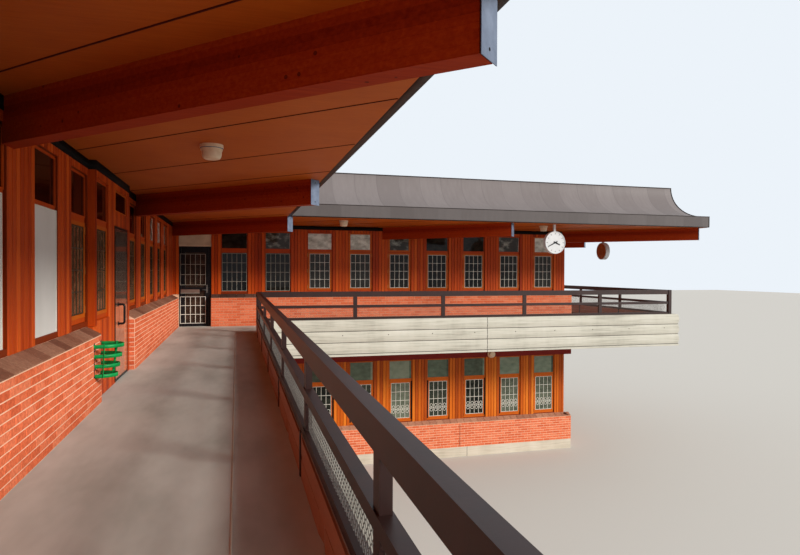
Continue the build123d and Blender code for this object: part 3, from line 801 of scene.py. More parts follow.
tilt = Matrix.Rotation(math.atan2(sillwork["rise"], sillwork["run"]) - math.pi / 2, 4, "X")
slopeLength = math.hypot(sillwork["rise"], sillwork["run"])
brickParts, sillParts = [], []
seed = 1
for sideName, side in sides.items():
    for storeyName, storey in storeys.items():
        tile = lowerSillTile if storeyName == "lower" else darkSillTile if sideName == "yardB" else sillTile
        for s0, s1 in brickStretches(sideName, storeyName):
            e0 = brickwork["proud"] if s0 == 0 and side["turns"][0] == 1 else 0
            e1 = brickwork["proud"] if s1 == side["length"] and side["turns"][1] == 1 else 0
            length = s1 - s0 + e0 + e1
            place = standing(sideName, s0 - e0, 0, storey["foot"])
            brickParts.append((brickRun(length, storey, seed), place))
            mesh = courses(brickShape, length, slopeLength, sillwork, seed + sillwork["seedStep"], tile)
            sillParts.append((mesh, standing(sideName, s0 - e0, 0, storey["sill"]) @ tilt))
            seed += 1
# Brick ends: one faces the camera beyond the door of wing A, one is across the bay, one at the door of wing B
upper = storeys["upper"]
for sideName, s, n, width, angle in (
    ("yardA", house["bayEnd"], house["bayBack"], house["bayBack"], -90),
    ("yardA", house["bayStart"], 0, house["bayBack"], 90),
    ("yardB", house["doorBWidth"], brickwork["endB"], brickwork["endB"], -90),
):
    place = standing(sideName, s, n, upper["foot"]) @ turnBy(angle)
    brickParts.append((brickRun(width, upper, seed), place))
    seed += 1
joinPiece("brickFacing", brickParts)
joinPiece("sillTiles", sillParts)
print("stage 5: brick facings and sills")

# Boards between, over and beside the windows
boards = {
    "pitch": 0.094, "joint": 0.007, "proud": 0.012, "bond": 0.0, "least": (0.04, 0.02), "doorAHead": 6.31,
    "lightAFoot": 6.52, "doorBHead": 6.78,
}
boardShape = newPattern(frontShape(0.06, 0.0))


def boardPanel(sideName, s0, s1, z0, z1, n, finish, seed):
    width, height = s1 - s0, z1 - z0
    if width < boards["least"][0] or height < boards["least"][1]:
        return []
    unit = width / max(1, round(width / boards["pitch"])) + 0.00001
    mesh = courses(boardShape, width, height, {**boards, "unit": unit}, seed, finish)
    return [(mesh, standing(sideName, s0, n, z0))]


# Fields of boards in the bay of wing A: beside and round the light and the door
def bayFields(storey):
    foot, head, windowTop = storey["foot"], storey["head"], storey["windowTop"]
    doorStart, doorEnd = house["doorAStart"], house["doorAEnd"]
    left, right = (house["lightAxis"] + side * house["windowWidth"] / 2 for side in (-1, 1))
    return [
        (house["bayStart"], left, foot, storey["bandFoot"]),
        (house["screenStart"], left, storey["bandFoot"], head),
        (left, right, foot, storey["windowFoot"]), (left, right, windowTop, head),
        (right, doorStart, foot, head), (doorStart, doorEnd, boards["doorAHead"], boards["lightAFoot"]),
        (doorStart, doorEnd, windowTop, head), (doorEnd, house["bayEnd"], foot, head),
    ]


half = house["windowWidth"] / 2
inset = house["bandBack"]
doorways = {
    ("upper", "yardA"): [(house["screenStart"], house["bayEnd"])],
    ("upper", "yardB"): [(0, house["doorBWidth"])],
}
for storeyName, storey in storeys.items():
    boardParts = []
    finish = upperBoard if storeyName == "upper" else lowerBoard
    head = storey["head"]
    for sideName in sides:
        edge, high = sideEnds(sideName, inset)
        gaps = [(s - half, s + half) for s in windowAxes(sideName, storeyName)]
        fields = []
        for g0, g1 in sorted(gaps + doorways.get((storeyName, sideName), [])) + [(high, high)]:
            fields.append((edge, g0, storey["bandFoot"], head, inset))
            edge = g1
        fields += [(g0, g1, storey["windowTop"], head, inset) for g0, g1 in gaps]
        if storeyName == "upper" and sideName == "yardA":
            fields += [(*field, house["bayBack"]) for field in bayFields(storey)]
        for field in fields:
            boardParts += boardPanel(sideName, *field, finish, seed)
            seed += 1
        if storeyName == "upper" and sideName == "yardB":
            field = (0, house["doorBWidth"], boards["doorBHead"], head, inset)
            boardParts += boardPanel(sideName, *field, finish, seed)
    joinPiece(storeyName + "Boards", boardParts)
print("stage 6: boards")

# Windows: sashes, hinges, beads, grilles and panes
windows = {
    "sashBar": 0.045, "sashDepth": 0.018, "grilleBar": 0.011, "grilleDepth": 0.008, "grilleParts": 4,
    "grilleEdge": 0.02, "beadBar": 0.018, "beadDepth": 0.02, "beadEdge": 0.012, "glass": 0.004, "edge": 0.03,
    "headGap": 0.015, "knot": 0.016, "knotBar": 0.009, "ring": 0.045, "ringBar": 0.011, "ringSpread": 0.07,
    "panels": (5.485, 6.85), "wideLights": (0, 1), "narrowLights": (3, 4, 8), "wideGlass": 0.69,
    "wideZ": (5.125, 6.205), "wideParts": (5, 4), "gapAt": 0.34, "gapWide": 0.046, "gapDepth": 0.012,
    "gapOver": 0.09,
}
# How far behind the frames' face the parts of a window stand
behind = {
    "grille": 0.001, "bead": 0.002, "pane": 0.009, "hinge": -0.002, "wideGrille": -0.011, "widePane": -0.003,
}
hinge = {"heights": (-0.46, 0, 0.46), "rises": (-0.03, 0, 0.03), "radius": 0.007, "half": 0.014, "out": 0.058}


def ring(radius, x, z, steps):
    angles = [2 * math.pi * i / steps for i in range(steps)]
    return [(x + radius * math.sin(a), 0, z + radius * math.cos(a)) for a in angles]


def hasPanel(s):
    return any(abs(s - axis) < house["module"] / 4 for axis in windows["panels"])


# Three hinges of three knuckles stand along a casement's edge
knuckles = []
radius, low, high = hinge["radius"], -hinge["half"], hinge["half"]
for z in hinge["heights"]:
    for rise in hinge["rises"]:
        knuckle = turnedMesh([(0, low), (radius, low), (radius, high), (0, high)], 10)
        knuckles.append((knuckle, Matrix.Translation((0, 0, z + rise)) @ turnBy(90, "X")))
hingeShape = newPattern(knuckles)
sashWide = house["casementWidth"] + windows["sashBar"]
hingeReach = house["casementWidth"] / 2 + hinge["out"]
wideHigh = windows["wideZ"][1] - windows["wideZ"][0]
for storeyName, storey in storeys.items():
    isUpper = storeyName == "upper"
    glassFoot = storey["windowFoot"] + house["casementFoot"]
    glassHigh = storey["transomFoot"] - glassFoot
    lightHigh = storey["windowTop"] - windows["headGap"] - storey["transomTop"]
    lift = storey["transomTop"] + lightHigh / 2 - glassFoot - glassHigh / 2
    middle = glassFoot + glassHigh / 2
    n = house["bandBack"] + house["frameBack"]
    places, casements, grilles, shadedGrilles, gaps, hinges, wides, narrows = ([] for i in range(8))
    for sideName in sides:
        axes = windowAxes(sideName, storeyName)
        # The upper windows of wing A stand in the roof's shade; their grilles take the dark copy, painted
        # shade
        inShade, onFront = (isUpper and sideName == name for name in ("yardA", "yardB"))
        for i, s in enumerate(axes):
            places.append((sideName, s, n, middle))
            if inShade and hasPanel(s):
                continue
            if onFront and i in windows["wideLights"]:
                wides.append(standing(sideName, s, n, sum(windows["wideZ"]) / 2))
                continue
            if onFront and i in windows["narrowLights"]:
                narrows.append((sideName, s, n, middle + lift))
            casements.append((sideName, s, n, middle))
            (shadedGrilles if inShade else grilles).append((sideName, s, n + behind["grille"], middle))
            hand = -1 if i % 2 else 1
            hinges.append((sideName, s - hand * hingeReach, n + behind["hinge"], middle))
            if not isUpper and i < len(axes) - 1:
                gaps.append((sideName, s + hand * windows["gapAt"], n, middle))
    if isUpper:
        bay = house["bayBack"] + house["frameBack"]
        places.append(("yardA", house["lightAxis"], bay, middle))
        casements.append(places[-1])
        shadedGrilles.append(("yardA", house["lightAxis"], bay + behind["grille"], middle))
        hinges.append(("yardA", house["lightAxis"] - hingeReach, bay + behind["hinge"], middle))
    bar, depth = windows["sashBar"], windows["sashDepth"]
    sash = grid(sashWide, glassHigh + bar, bar, depth, sashWood)
    joinPiece(storeyName + "Sashes", setAll(sash, sashWood, casements))
    joinPiece(storeyName + "Hinges", setAll(hingeShape, hingeBrass, hinges))
    # Black strips beside the lower casements, which stand ajar, paint the shade in their gaps
    if gaps:
        height = glassHigh + windows["gapOver"]
        gapShade = slab(windows["gapWide"], windows["gapDepth"], height, recessBlack, 0.04, 0.004)
        joinPiece("casementGaps", setAll(gapShade, recessBlack, gaps))
    beadWood = bandWood if isUpper else sashWood
    width = house["windowWidth"] - windows["edge"]
    height = lightHigh - windows["beadEdge"]
    bead = grid(width, height, windows["beadBar"], windows["beadDepth"], beadWood)
    lifted = [(name, s, n + behind["bead"], z + lift) for name, s, n, z in places]
    joinPiece(storeyName + "Beads", setAll(bead, beadWood, lifted))
    # Grilles: knots on the middle bar in the upper storey, and rings low down in the lower storey
    width, height = house["casementWidth"] - windows["grilleEdge"], glassHigh - windows["grilleEdge"]
    bar, depth, parts = windows["grilleBar"], windows["grilleDepth"], windows["grilleParts"]
    row = height / parts
    if isUpper:
        rings = [ring(windows["knot"], 0, z, 8) for z in (-row, 0, row)]
        thick = windows["knotBar"]
    else:
        column, spread = width / parts, windows["ringSpread"]
        spots = [(x * column, z) for x in (-1.5, -0.5, 0.5, 1.5) for z in (-row - spread, -row + spread)]
        rings = [ring(windows["ring"], x, z, 12) for x, z in spots]
        thick = windows["ringBar"]
    field = grid(width, height, bar, depth, grilleWhite, parts, parts)
    grille = newPattern([(field, identity), (trim(rings, thick, thick, grilleWhite, True), identity)])
    runs = [(setAll(grille, grilleWhite, grilles), identity)]
    if shadedGrilles:
        runs.append((setAll(grille, grilleDim, shadedGrilles), identity))
    # The wide lights' grilles take the grey copy: painted shade
    for place in wides:
        edge = windows["edge"]
        width, height = windows["wideGlass"] - edge, wideHigh - edge
        mesh = grid(width, height, bar, depth, grilleGrey, *windows["wideParts"])
        runs.append((mesh, place @ Matrix.Translation((0, behind["wideGrille"], 0))))
    joinPiece(storeyName + "Grilles", runs)
    glass = upperGlass if isUpper else lowerGlass
    paneHigh = storey["windowTop"] - storey["windowFoot"] - windows["edge"]
    shift = storey["windowFoot"] + windows["edge"] / 2 + paneHigh / 2 - middle
    pane = slab(house["windowWidth"] - windows["edge"], windows["glass"], paneHigh, glass)
    shifted = [(name, s, n + behind["pane"], z + shift) for name, s, n, z in places]
    runs = [(setAll(pane, glass, shifted), identity)]
    for place in wides:
        sheet = slab(windows["wideGlass"], windows["glass"], wideHigh, glass)
        runs.append((sheet, place @ Matrix.Translation((0, behind["widePane"], 0))))
    panes = joinPiece(storeyName + "Panes", runs)
    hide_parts(storeyName + "_window_panes")
    if narrows:
        mesh = grid(sashWide, lightHigh + 0.01, windows["sashBar"], windows["sashDepth"], sashWood)
        joinPiece("narrowLights", setAll(mesh, sashWood, narrows))

# White panels that fill the opening in place of the casement, in two windows of wing A
panel = {"foot": 5.06, "head": 6.29, "rim": 0.012, "back": 0.184, "thick": 0.006, "shortBy": 0.065}
panelParts = []
for s in filter(hasPanel, windowAxes("yardA", "upper")):
    cut = panel["shortBy"] if s < house["nearWindows"] else 0
    width, height = house["windowWidth"] - cut, panel["head"] - panel["foot"]
    place = standing("yardA", s, panel["back"], panel["foot"] + height / 2)
    place = place @ Matrix.Translation((-cut / 2, 0, 0))
    board = boxMesh(-width / 2, width / 2, 0, panel["thick"], -height / 2, height / 2, blindWhite)
    rim = grid(width - panel["rim"], height - panel["rim"], panel["rim"], panel["rim"], grilleWhite)
    panelParts += [(board, place), (rim, place)]
joinPiece("casementPanels", panelParts)
print("stage 7: windows")

# Door of wing B: two barred fields; the upper one, in shade, takes the grey copy of the grille: painted shade
doors = {
    "width": 0.66, "bar": 0.012, "depth": 0.01, "parts": (5, 3), "axis": 0.365, "face": 0.19,
    "fields": ((4.25, 4.98, grilleWhite), (5.31, 6.16, grilleGrey)),
}
doorParts = []
for low, high, finish in doors["fields"]:
    mesh = grid(doors["width"], high - low, doors["bar"], doors["depth"], finish, *doors["parts"])
    doorParts.append((mesh, standing("yardB", doors["axis"], doors["face"], (low + high) / 2)))
joinPiece("doorGrille", doorParts)
# Letter plate between the two fields, with a pale lip along its foot
letters = {"s": (0.045, 0.54), "z": (5.075, 5.185), "face": 0.194, "thick": 0.006, "lip": 0.014}
foot, head = letters["z"]
letterParts = []
for top, thick, finish in (
    (head, letters["thick"], plateBrown), (foot + letters["lip"], letters["thick"] * 2, grilleGrey)
):
    plate = slab(letters["s"][1] - letters["s"][0], thick, top - foot, finish, 0.004, 0.06)
    letterParts.append((plate, standing("yardB", sum(letters["s"]) / 2, letters["face"], (foot + top) / 2)))
joinPiece("letterPlate", letterParts)
# Pale rail that carries the head panel down to the door of wing B
rail = {"width": 0.846, "foot": 6.372, "head": 6.436, "face": 0.171, "thick": 0.01}
board = slab(rail["width"], rail["thick"], rail["head"] - rail["foot"], panelWhite, 0.002, 0.04)
place = standing("yardB", house["doorBWidth"] / 2, rail["face"], (rail["foot"] + rail["head"]) / 2)
joinPiece("headRail", [(board, place)])
# A dark fixed light with its beads stands in front of the head panel over the door of wing A
headLight = {"s": (9.665, 10.535), "z": (6.525, 6.815), "n": 0.104, "bar": 0.02, "depth": 0.016}
width = headLight["s"][1] - headLight["s"][0]
height = headLight["z"][1] - headLight["z"][0]
place = standing("yardA", headLight["s"][0] + width / 2, headLight["n"], headLight["z"][0] + height / 2)
pane = slab(width, windows["glass"], height, upperGlass, 0.002, 0.004)
joinPiece("headLightPane", [(pane, place)])
bar = headLight["bar"]
beads = grid(width - bar, height - bar, bar, headLight["depth"], sashWood)
joinPiece("headLightBeads", [(beads, place)])
# The door of wing A shows as one glazed leaf in a narrow black frame, level with the boards
leaf = {"s": (9.565, 10.53), "z": (4.175, 6.315), "face": 0.078, "bar": 0.036, "depth": 0.014}
width = leaf["s"][1] - leaf["s"][0] - leaf["bar"]
height = leaf["z"][1] - leaf["z"][0] - leaf["bar"]
place = standing("yardA", sum(leaf["s"]) / 2, leaf["face"], sum(leaf["z"]) / 2)
joinPiece("doorFrame", [(grid(width, height, leaf["bar"], leaf["depth"], doorBlack), place)])
pane = slab(width, windows["glass"], height, doorGlass, 0.002, 0.002)
joinPiece("doorGlass", [(pane, place)])
# Lever handle of wing B: a plate, a neck and a lever that bends back to the door
lever = {
    "place": (0.735, 0.195, 5.2), "bar": 0.018, "plateX": (-0.02, 0.02), "plateY": (-0.006, 0),
    "plateZ": (-0.11, 0.11),
    "path": ((0, -0.004, 0.03), (0, -0.05, 0.03), (0.02, -0.058, 0.03), (0.12, -0.05, 0.028)),
}
place = standing("yardB", *lever["place"]) @ turnBy(180, "Y")
plate = boxMesh(*lever["plateX"], *lever["plateY"], *lever["plateZ"], wireSteel)
arm = trim([lever["path"]], lever["bar"], lever["bar"], wireSteel)
joinPiece("leverHandle", [(plate, place), (arm, place)])
# Pull on the door of wing A: one round bar bent to a D, with a rosette at each end
pull = {
    "s": 9.798, "foot": 4.96, "head": 5.23, "reach": 0.085, "bar": 0.03, "face": 0.076, "curve": 0.03,
    "steps": 4, "rose": ((0, 0), (0.03, 0), (0.03, -0.006), (0.022, -0.009), (0, -0.009)),
}
tip, curve, height = pull["face"] - pull["reach"], pull["curve"], pull["head"] - pull["foot"]
path = [(0, pull["face"], 0), (0, tip + curve, 0)]
for i in range(1, pull["steps"] + 1):
    a = math.pi / 2 * i / pull["steps"]
    path.append((0, tip + curve * (1 - math.sin(a)), curve * (1 - math.cos(a))))
path += [(0, y, height - z) for x, y, z in reversed(path)]
pullParts = [(rods([path], pull["bar"] / 2, doorBlack), standing("yardA", pull["s"], 0, pull["foot"]))]
for z in (0, height):
    rose = turnedMesh(pull["rose"])
    place = standing("yardA", pull["s"], pull["face"], pull["foot"] + z)
    pullParts.append((dress(rose, doorBlack), place))
doorPull = joinPiece("doorPull", pullParts)
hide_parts("door_handle")
print("stage 8: door fittings")

# Parapets: swelling bands over a plain lip, mitred where two runs meet
gallery = {
    "yardA": {"rail": (0.0, 15.95), "ends": (0.0, 15.99), "posts": [15.95 - 1.2 - 2.4 * i for i in range(7)]},
    "yardB": {"rail": (2.05, 14.05), "ends": (2.01, 14.01), "posts": [4.49 + 2.4 * i for i in range(4)]},
    "endB": {"rail": (-2.05, 8.4), "ends": (-2.01, 8.4), "posts": [0.35 + 2.4 * i for i in range(4)]},
}
parapet = {
    "bands": 3, "steps": 8, "lip": 0.058, "chamfer": 0.012, "bulge": 0.025, "line": 0.014, "depth": 0.008,
    "lipShift": 0.008, "lineEnds": (-17.99, 8.39), "tiePitch": 1.2, "tieFrom": 0.53, "tieHeight": 4.065,
    "tie": 0.013, "tieMargin": 0.1,
    "nodes": {"yardA": "parapet_yard_a", "yardB": "parapet_yard_b", "endB": "parapet_end_b"},
}
outer, inner = -house["parapetOuter"], -house["parapetInner"]
lipTop = house["parapetFoot"] + parapet["lip"]
bandHigh = (house["parapetTop"] - lipTop) / parapet["bands"]
groove = house["parapetOuter"] - parapet["bulge"]
outerFace = [(outer, house["parapetFoot"]), (outer, lipTop - parapet["chamfer"])]
for i in range(parapet["bands"] * parapet["steps"] + 1):
    share = 2 * (i % parapet["steps"]) / parapet["steps"] - 1
    swell = parapet["bulge"] * (1 - share * share)
    outerFace.append((-groove - swell, lipTop + i / parapet["steps"] * bandHigh))
section = [(inner, house["parapetFoot"]), *outerFace, (inner, house["parapetTop"])]
count = len(section)
for sideName, node in parapet["nodes"].items():
    side = sides[sideName]
    endTurn = 0 if sideName == "endB" else side["turns"][1]
    points = [standing(sideName, side["turns"][0] * n, n, z).translation for n, z in section]
    points += [standing(sideName, side["length"] - endTurn * n, n, z).translation for n, z in section]
    faces = [tuple(range(count)), tuple(range(2 * count - 1, count - 1, -1))]
    faces += [(i, count + i, count + (i + 1) % count, (i + 1) % count) for i in range(count)]
    cast = dress(meshOf(points, faces), parapetCast)
    run = joinPiece("parapet" + sideName[0].upper() + sideName[1:], cast)
    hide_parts(node)
# Dark lines along the joints between the bands paint the shadow in these grooves
grooveShadeLines = []
near, far = parapet["lineEnds"]
for i in range(parapet["bands"]):
    z = lipTop + i * bandHigh
    out = groove if i else groove + parapet["lipShift"]
    right = lengthB + out
    grooveShadeLines.append([at(out, near, z), at(out, -out, z), at(right, -out, z), at(right, far, z)])
joinPiece("parapetJoints", trim(grooveShadeLines, parapet["depth"], parapet["line"], darkTrim))

# Upright movement joints in the yard front of wing B: parapet, lower brickwork and plinth
seams = {"parapet": 8.1, "brick": 8.17, "plinth": 8.41, "width": 0.011, "depth": 0.006}
lower = storeys["lower"]
proud = brickwork["proud"] - seams["depth"] / 2 + 0.001
uprights = [
    [at(seams["parapet"], n, z) for n, z in outerFace],
    [at(seams["brick"], -proud, z) for z in (lower["foot"] + 0.01, lower["sill"] - 0.01)],
    [at(seams["plinth"], 0.001, z) for z in (0.004, lower["foot"] - 0.004)],
]
joinPiece("movementJoints", trim(uprights, seams["width"], seams["depth"], darkTrim))
tiePlaces = []
for sideName, run in gallery.items():
    low, high = run["ends"]
    for i in range(int((high - parapet["tieFrom"]) / parapet["tiePitch"]) + 1):
        s = parapet["tieFrom"] + i * parapet["tiePitch"]
        if low + parapet["tieMargin"] < s < high - parapet["tieMargin"]:
            tiePlaces.append((sideName, s, outer + 0.002, parapet["tieHeight"]))
plug = turnedMesh([(0, -0.001), (parapet["tie"], -0.001), (parapet["tie"], 0.004)], 10)
joinPiece("parapetTies", setAll(plug, darkTrim, tiePlaces))
# Joint along the floor of the gallery of wing A
floorJoint = {"x": 1.5, "ends": (-17.9, -1.6), "width": 0.014, "height": 0.004}
path = [at(floorJoint["x"], y, house["floorLevel"] + 0.001) for y in floorJoint["ends"]]
joinPiece("floorJoint", trim([path], floorJoint["width"], floorJoint["height"], plinthCast))

# Mesh under the rails, and boards with straps inside the parapets
netting = {"Pitch": 0.056, "Wire": 0.0032, "foot": 4.52, "head": 4.76, "margin": 0.06}
lining = {
    "unit": 2.4, "joint": 0.006, "proud": 0.014, "bond": 0.5, "rows": 2, "course": 0.15, "seed": 400,
    "strapWidth": 0.05, "strapDepth": 0.01, "strapHigh": 0.34, "strapMiddle": 4.34,
}
meshParts, liningParts, strapParts = [], [], []
for sideName, run in gallery.items():
    start, end = run["rail"]
    values = {
        **netting, "Length": end - start - 2 * netting["margin"], "Height": netting["head"] - netting["foot"],
        "Finish": wireSteel,
    }
    middle = (netting["head"] + netting["foot"]) / 2
    place = standing(sideName, start + netting["margin"], -house["railLine"], middle)
    meshParts.append((runTree(wireMesh, values), place))
    low, high = run["ends"]
    boarding = courses(
        boardShape, high - low, lining["course"], lining, lining["seed"], liningWood, lining["rows"]
    )
    liningParts.append((boarding, standing(sideName, high, inner, house["floorLevel"]) @ turnBy(180)))
    for s in run["posts"]:
        strap = slab(lining["strapWidth"], lining["strapDepth"], lining["strapHigh"], railSteel, 0.08, 0.01)
        place = standing(sideName, s, inner + lining["proud"], lining["strapMiddle"]) @ turnBy(180)
        strapParts.append((strap, place))
joinPiece("railingMesh", meshParts)
joinPiece("parapetLining", liningParts)
joinPiece("parapetStraps", strapParts)
print("stage 9: railing mesh and parapet lining")

# Roof edges and soffit
roof = {
    "right": 14.8, "near": -18.0, "rear": 9.3, "left": -9.3, "yard": 2.8, "fasciaFoot": 7.03,
    "fasciaTop": 7.32, "coveWidth": 1.62, "coveHeight": 1.05, "ridge": 8.37, "trimDepth": 0.02,
    "trimHeight": 0.016, "verge": 0.022, "underZ": 7.021, "underWidth": 0.086,
}
yard = roof["yard"]


# The eave line, moved in by an inset, from the near end of wing A to the end of wing B and round the rear
def eaveLine(inset, z):
    right, near, left = roof["right"] - 0.002, roof["near"] + 0.002, roof["left"] + inset
    front = [at(yard - inset, near, z), at(yard - inset, -yard + inset, z), at(right, -yard + inset, z)]
    rear = [at(right, roof["rear"] - inset, z), at(left, roof["rear"] - inset, z), at(left, near, z)]
    return [front, rear]


# A verge stands along the hollow curve of the roof edge at a cut end of the roof
def vergeRun(place, inward, steps=14, last=88):
    path = [place - inward * 0.002 + Vector((0, 0, roof["fasciaFoot"]))]
    for i in range(steps + 1):
        a = math.radians(last * i / steps)
        n, z = roof["coveWidth"] * math.sin(a), roof["ridge"] - roof["coveHeight"] * math.cos(a)
        path.append(place + inward * (n - 0.004) + Vector((0, 0, z + 0.006)))
    return path


eaveTop = roof["fasciaTop"] + roof["trimHeight"] / 2 - 0.004
edgeParts = [
    trim([eaveLine(0.004, eaveTop)[0]], roof["trimDepth"], roof["trimHeight"], darkTrim),
    trim([eaveLine(0.012, eaveTop)[1]], roof["trimDepth"], roof["trimHeight"], darkTrim),
    # The underside of the fascia, and the ridge
    trim(eaveLine(0.046, roof["underZ"]), roof["underWidth"], roof["trimHeight"], darkTrim),
    trim(eaveLine(roof["coveWidth"] - 0.006, roof["ridge"] - 0.012), 0.012, 0.022, darkTrim),
]
verges = [
    vergeRun(at(roof["right"] - 0.012, -yard, 0), Vector((0, 1, 0))),
    vergeRun(at(yard, roof["near"] + 0.012, 0), Vector((-1, 0, 0))),
]
edgeParts.append(rods(verges, roof["verge"] / 2, darkTrim))
joinPiece("roofTrims", [(part, identity) for part in edgeParts])

# Joints of the soffit boards, parallel to the beams
soffit = {
    "offsets": (2.0, 3.7, 5.45), "reaches": (-18.3, -12.3, -6.15, 0, 6, 12), "width": 0.013, "drop": 0.005,
    "out": 2.7, "near": 17.95, "endGap": 0.05, "least": 0.2,
}


def soffitLine(reach):
    if reach < 0:
        x0, x1 = -inset, min(soffit["out"], reach + soffit["near"])
    else:
        x0 = min(reach, lengthB) - inset
        x1 = min(reach + soffit["out"], roof["right"] - soffit["endGap"])
    z = house["soffit"] - soffit["drop"] / 2 + 0.001
    return [at(x0, reach - x0, z), at(x1, reach - x1, z)]


lines = [soffitLine(reach + offset) for reach in soffit["reaches"] for offset in soffit["offsets"]]
lines = [line for line in lines if line[1].x - line[0].x > soffit["least"]]
joinPiece("soffitJoints", trim(lines, soffit["width"], soffit["drop"], jointRed))

# A black strip closes the head of the upper band under the soffit; it paints the shadow of the gap there
shadowStrip = {"foot": 6.9, "head": 7.01, "depth": 0.02, "bayMargin": 0.008}
shadowStripParts = []
for sideName in sides:
    n = inset - shadowStrip["depth"] / 2 - 0.002
    low, high = sideEnds(sideName, n)
    path = [(low, n), (high, n)]
    if sideName == "yardA":
        bay = house["bayBack"] - shadowStrip["depth"] / 2 - 0.002
        left, right = house["screenStart"] - shadowStrip["bayMargin"], house["bayEnd"] + shadowStrip["bayMargin"]
        path[1:1] = [(left, n), (left, bay), (right, bay), (right, n)]
    z = (shadowStrip["foot"] + shadowStrip["head"]) / 2
    path = [standing(sideName, *spot, z).translation for spot in path]
    shadowStripParts.append((trim([path], shadowStrip["depth"], shadowStrip["head"] - shadowStrip["foot"], recessBlack), identity))
joinPiece("headStrips", shadowStripParts)

# Holes in the end plates of the beams: short dark plugs that paint the shade in the holes
plates = {
    "tips": ((-12.3, 2.6), (-6.15, 2.6), (0, 2.755), (6, 8.63), (12, 14.6), (18, 14.6)),
    "out": 0.0165, "heights": (6.695, 6.965), "radius": 0.008, "depth": 0.0015,
}
plug = [(0, 0), (plates["radius"], 0), (plates["radius"], -plates["depth"]), (0, -plates["depth"])]
holeShadeParts = []
for reach, tip in plates["tips"]:
    for z in plates["heights"]:
        d = plates["out"] / 2**0.5
        place = Matrix.Translation(at(tip + d, reach - tip - d, z)) @ turnBy(45)
        holeShadeParts.append((dress(turnedMesh(plug, 12), recessBlack), place))
joinPiece("plateHoles", holeShadeParts)
print("stage 10: roof edges and soffit")

# Clock, drum and lamps
dial = {
    "place": (9.98, -2.45, 6.51), "radius": 0.3075, "depth": 0.11,
    "marks": {"Count": 12, "Radius": 0.245, "Long": 0.036, "Wide": 0.013, "Thick": 0.003},
    "hands": ((0.23, 0.034, 0.07, 243, -0.008), (0.155, 0.044, 0.05, 113, -0.004)),
}
drum = {
    "place": (13.32, 0.25, 6.40), "depth": 0.14,
    "dish": ((0, -0.006), (0.12, -0.0055), (0.2, -0.004), (0.25, -0.001)),
}


# A hand as a tapered blade with a counterweight, at an angle from the top
def handMesh(length, width, tail, angle):
    outline = [(-width / 2, -tail), (width / 2, -tail), (width * 0.3, length), (-width * 0.3, length)]
    points = [(x, y, z) for y in (-0.003, 0) for x, z in outline]
    faces = [(0, 1, 2, 3)] + [(i, 4 + i, 4 + (i + 1) % 4, (i + 1) % 4) for i in range(4)]
    blade = meshOf(points, faces)
    blade.transform(turnBy(angle, "Y"))
    return dress(blade, clockDark)


# The face of a hanging fitting that looks along a turn about Z
def faceOf(fitting, degrees):
    turned = Matrix.Translation(at(*fitting["place"])) @ turnBy(degrees)
    return turned @ Matrix.Translation((0, -fitting["depth"] / 2, 0))


rimParts, handParts = [], []
r = dial["radius"]
for degrees in (0, 180):
    face = faceOf(dial, degrees)
    rim = turnedMesh([(r - 0.022, 0), (r - 0.018, -0.012), (r - 0.006, -0.012), (r, -0.004), (r, 0)], 48)
    rimParts.append((dress(rim, clockWhite), face))
    handParts.append((runTree(dialMarks, {**dial["marks"], "Finish": clockDark}), face))
    for length, width, tail, angle, y in dial["hands"]:
        handParts.append((handMesh(length, width, tail, angle), face @ Matrix.Translation((0, y, 0))))
    boss = turnedMesh([(0.014, 0), (0.014, -0.012), (0.009, -0.014), (0, -0.014)], 16)
    handParts.append((dress(boss, clockDark), face))
joinPiece("clockRims", rimParts)
joinPiece("clockHands", handParts)
drumParts = []
for degrees in (90, -90):
    dish = turnedMesh(drum["dish"], 40)
    drumParts.append((dress(dish, drumBrown), faceOf(drum, degrees)))
joinPiece("drumFaces", drumParts)
print("stage 11: clock and drum")

# A ring closes each lamp between its flange and its bowl
lampRings = {
    "places": ((1.28, -10.84), (4.2, -1.95), (9.95, -1.9)), "radius": 0.112, "drop": 0.036, "bar": 0.005,
    "steps": 32,
}
z = house["soffit"] - lampRings["drop"]
r = lampRings["radius"]
angles = [2 * math.pi * i / lampRings["steps"] for i in range(lampRings["steps"])]
ringParts = []
for x, y in lampRings["places"]:
    circle = [at(x + r * math.cos(a), y + r * math.sin(a), z) for a in angles]
    ringParts.append((rods([circle], lampRings["bar"], capSteel, True), identity))
joinPiece("lampRings", ringParts)

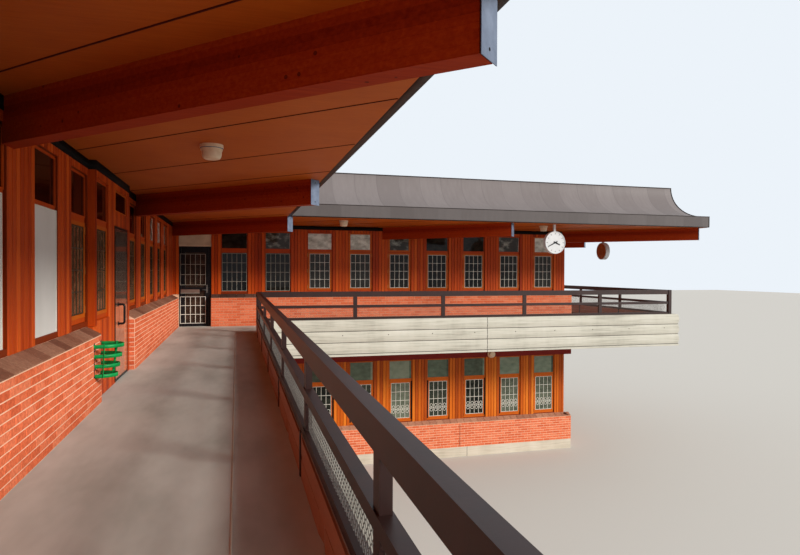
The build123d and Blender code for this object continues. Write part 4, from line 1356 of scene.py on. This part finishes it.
# Bin: half-round slats that lean in to the foot, with straps, posts and rods in its floor
litter = {
    "middle": 8.12, "foot": 4.5, "top": 4.9, "halfWidth": 0.205, "reach": 0.282, "wall": 0.004, "slats": 4,
    "slatHigh": 0.042, "slatThick": 0.007, "slatGap": 0.012, "shrink": 0.075, "widest": 0.97, "steps": 18,
    "straps": (22, 140), "strapOut": 0.004, "strapHead": 0.015, "strap": (0.008, 0.024), "postWidth": 0.03,
    "postDepth": 0.008, "postSpread": 0.17, "rods": 7, "rodStart": -0.12, "rodPitch": 0.04,
    "rodReach": (0.15, 0.21), "rodLift": 0.008, "rod": 0.004,
}


def binPoint(scale, a, z, more=0.0):
    out = litter["reach"] * scale + more
    s = litter["middle"] - litter["halfWidth"] * scale * math.cos(a)
    return standing("yardA", s, -litter["wall"] - out * math.sin(a), z).translation


step = (litter["top"] - litter["foot"]) / litter["slats"] + litter["slatGap"]
slatParts = []
for i in range(litter["slats"]):
    scale = litter["widest"] - litter["shrink"] * (litter["slats"] - 1 - i)
    z = litter["foot"] + litter["slatHigh"] / 2 + step * i
    path = [binPoint(scale, math.pi * k / litter["steps"], z) for k in range(litter["steps"] + 1)]
    slatParts.append((trim([path], litter["slatThick"], litter["slatHigh"], binGreen), identity))
low = (litter["widest"] - litter["shrink"] * (litter["slats"] - 1), litter["foot"])
high = (litter["widest"], litter["top"] - litter["strapHead"])
for angle in litter["straps"]:
    path = [binPoint(scale, math.radians(angle), z, litter["strapOut"]) for scale, z in (low, high)]
    slatParts.append((trim([path], *litter["strap"], binGreen), identity))
basket = joinPiece("binSlats", slatParts)
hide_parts("litter_bin")
frameParts = []
height, middle = litter["top"] - litter["foot"], (litter["top"] + litter["foot"]) / 2
for s in (-litter["postSpread"], litter["postSpread"]):
    post = slab(litter["postWidth"], litter["postDepth"], height, darkTrim, 0.1, 0.01)
    frameParts.append((post, standing("yardA", litter["middle"] + s, 0, middle)))
floorRods = []
wide, deep = litter["rodReach"]
z = litter["foot"] + litter["rodLift"]
for i in range(litter["rods"]):
    s = litter["rodStart"] + litter["rodPitch"] * i
    front = -deep * math.sqrt(max(0.0, 1 - (s / wide) ** 2))
    floorRods.append([standing("yardA", litter["middle"] + s, n, z).translation for n in (0, front)])
frameParts.append((rods(floorRods, litter["rod"], darkTrim), identity))
joinPiece("binFrame", frameParts)
print("stage 12: bin")

for pattern in patterns:
    bpy.data.objects.remove(pattern)
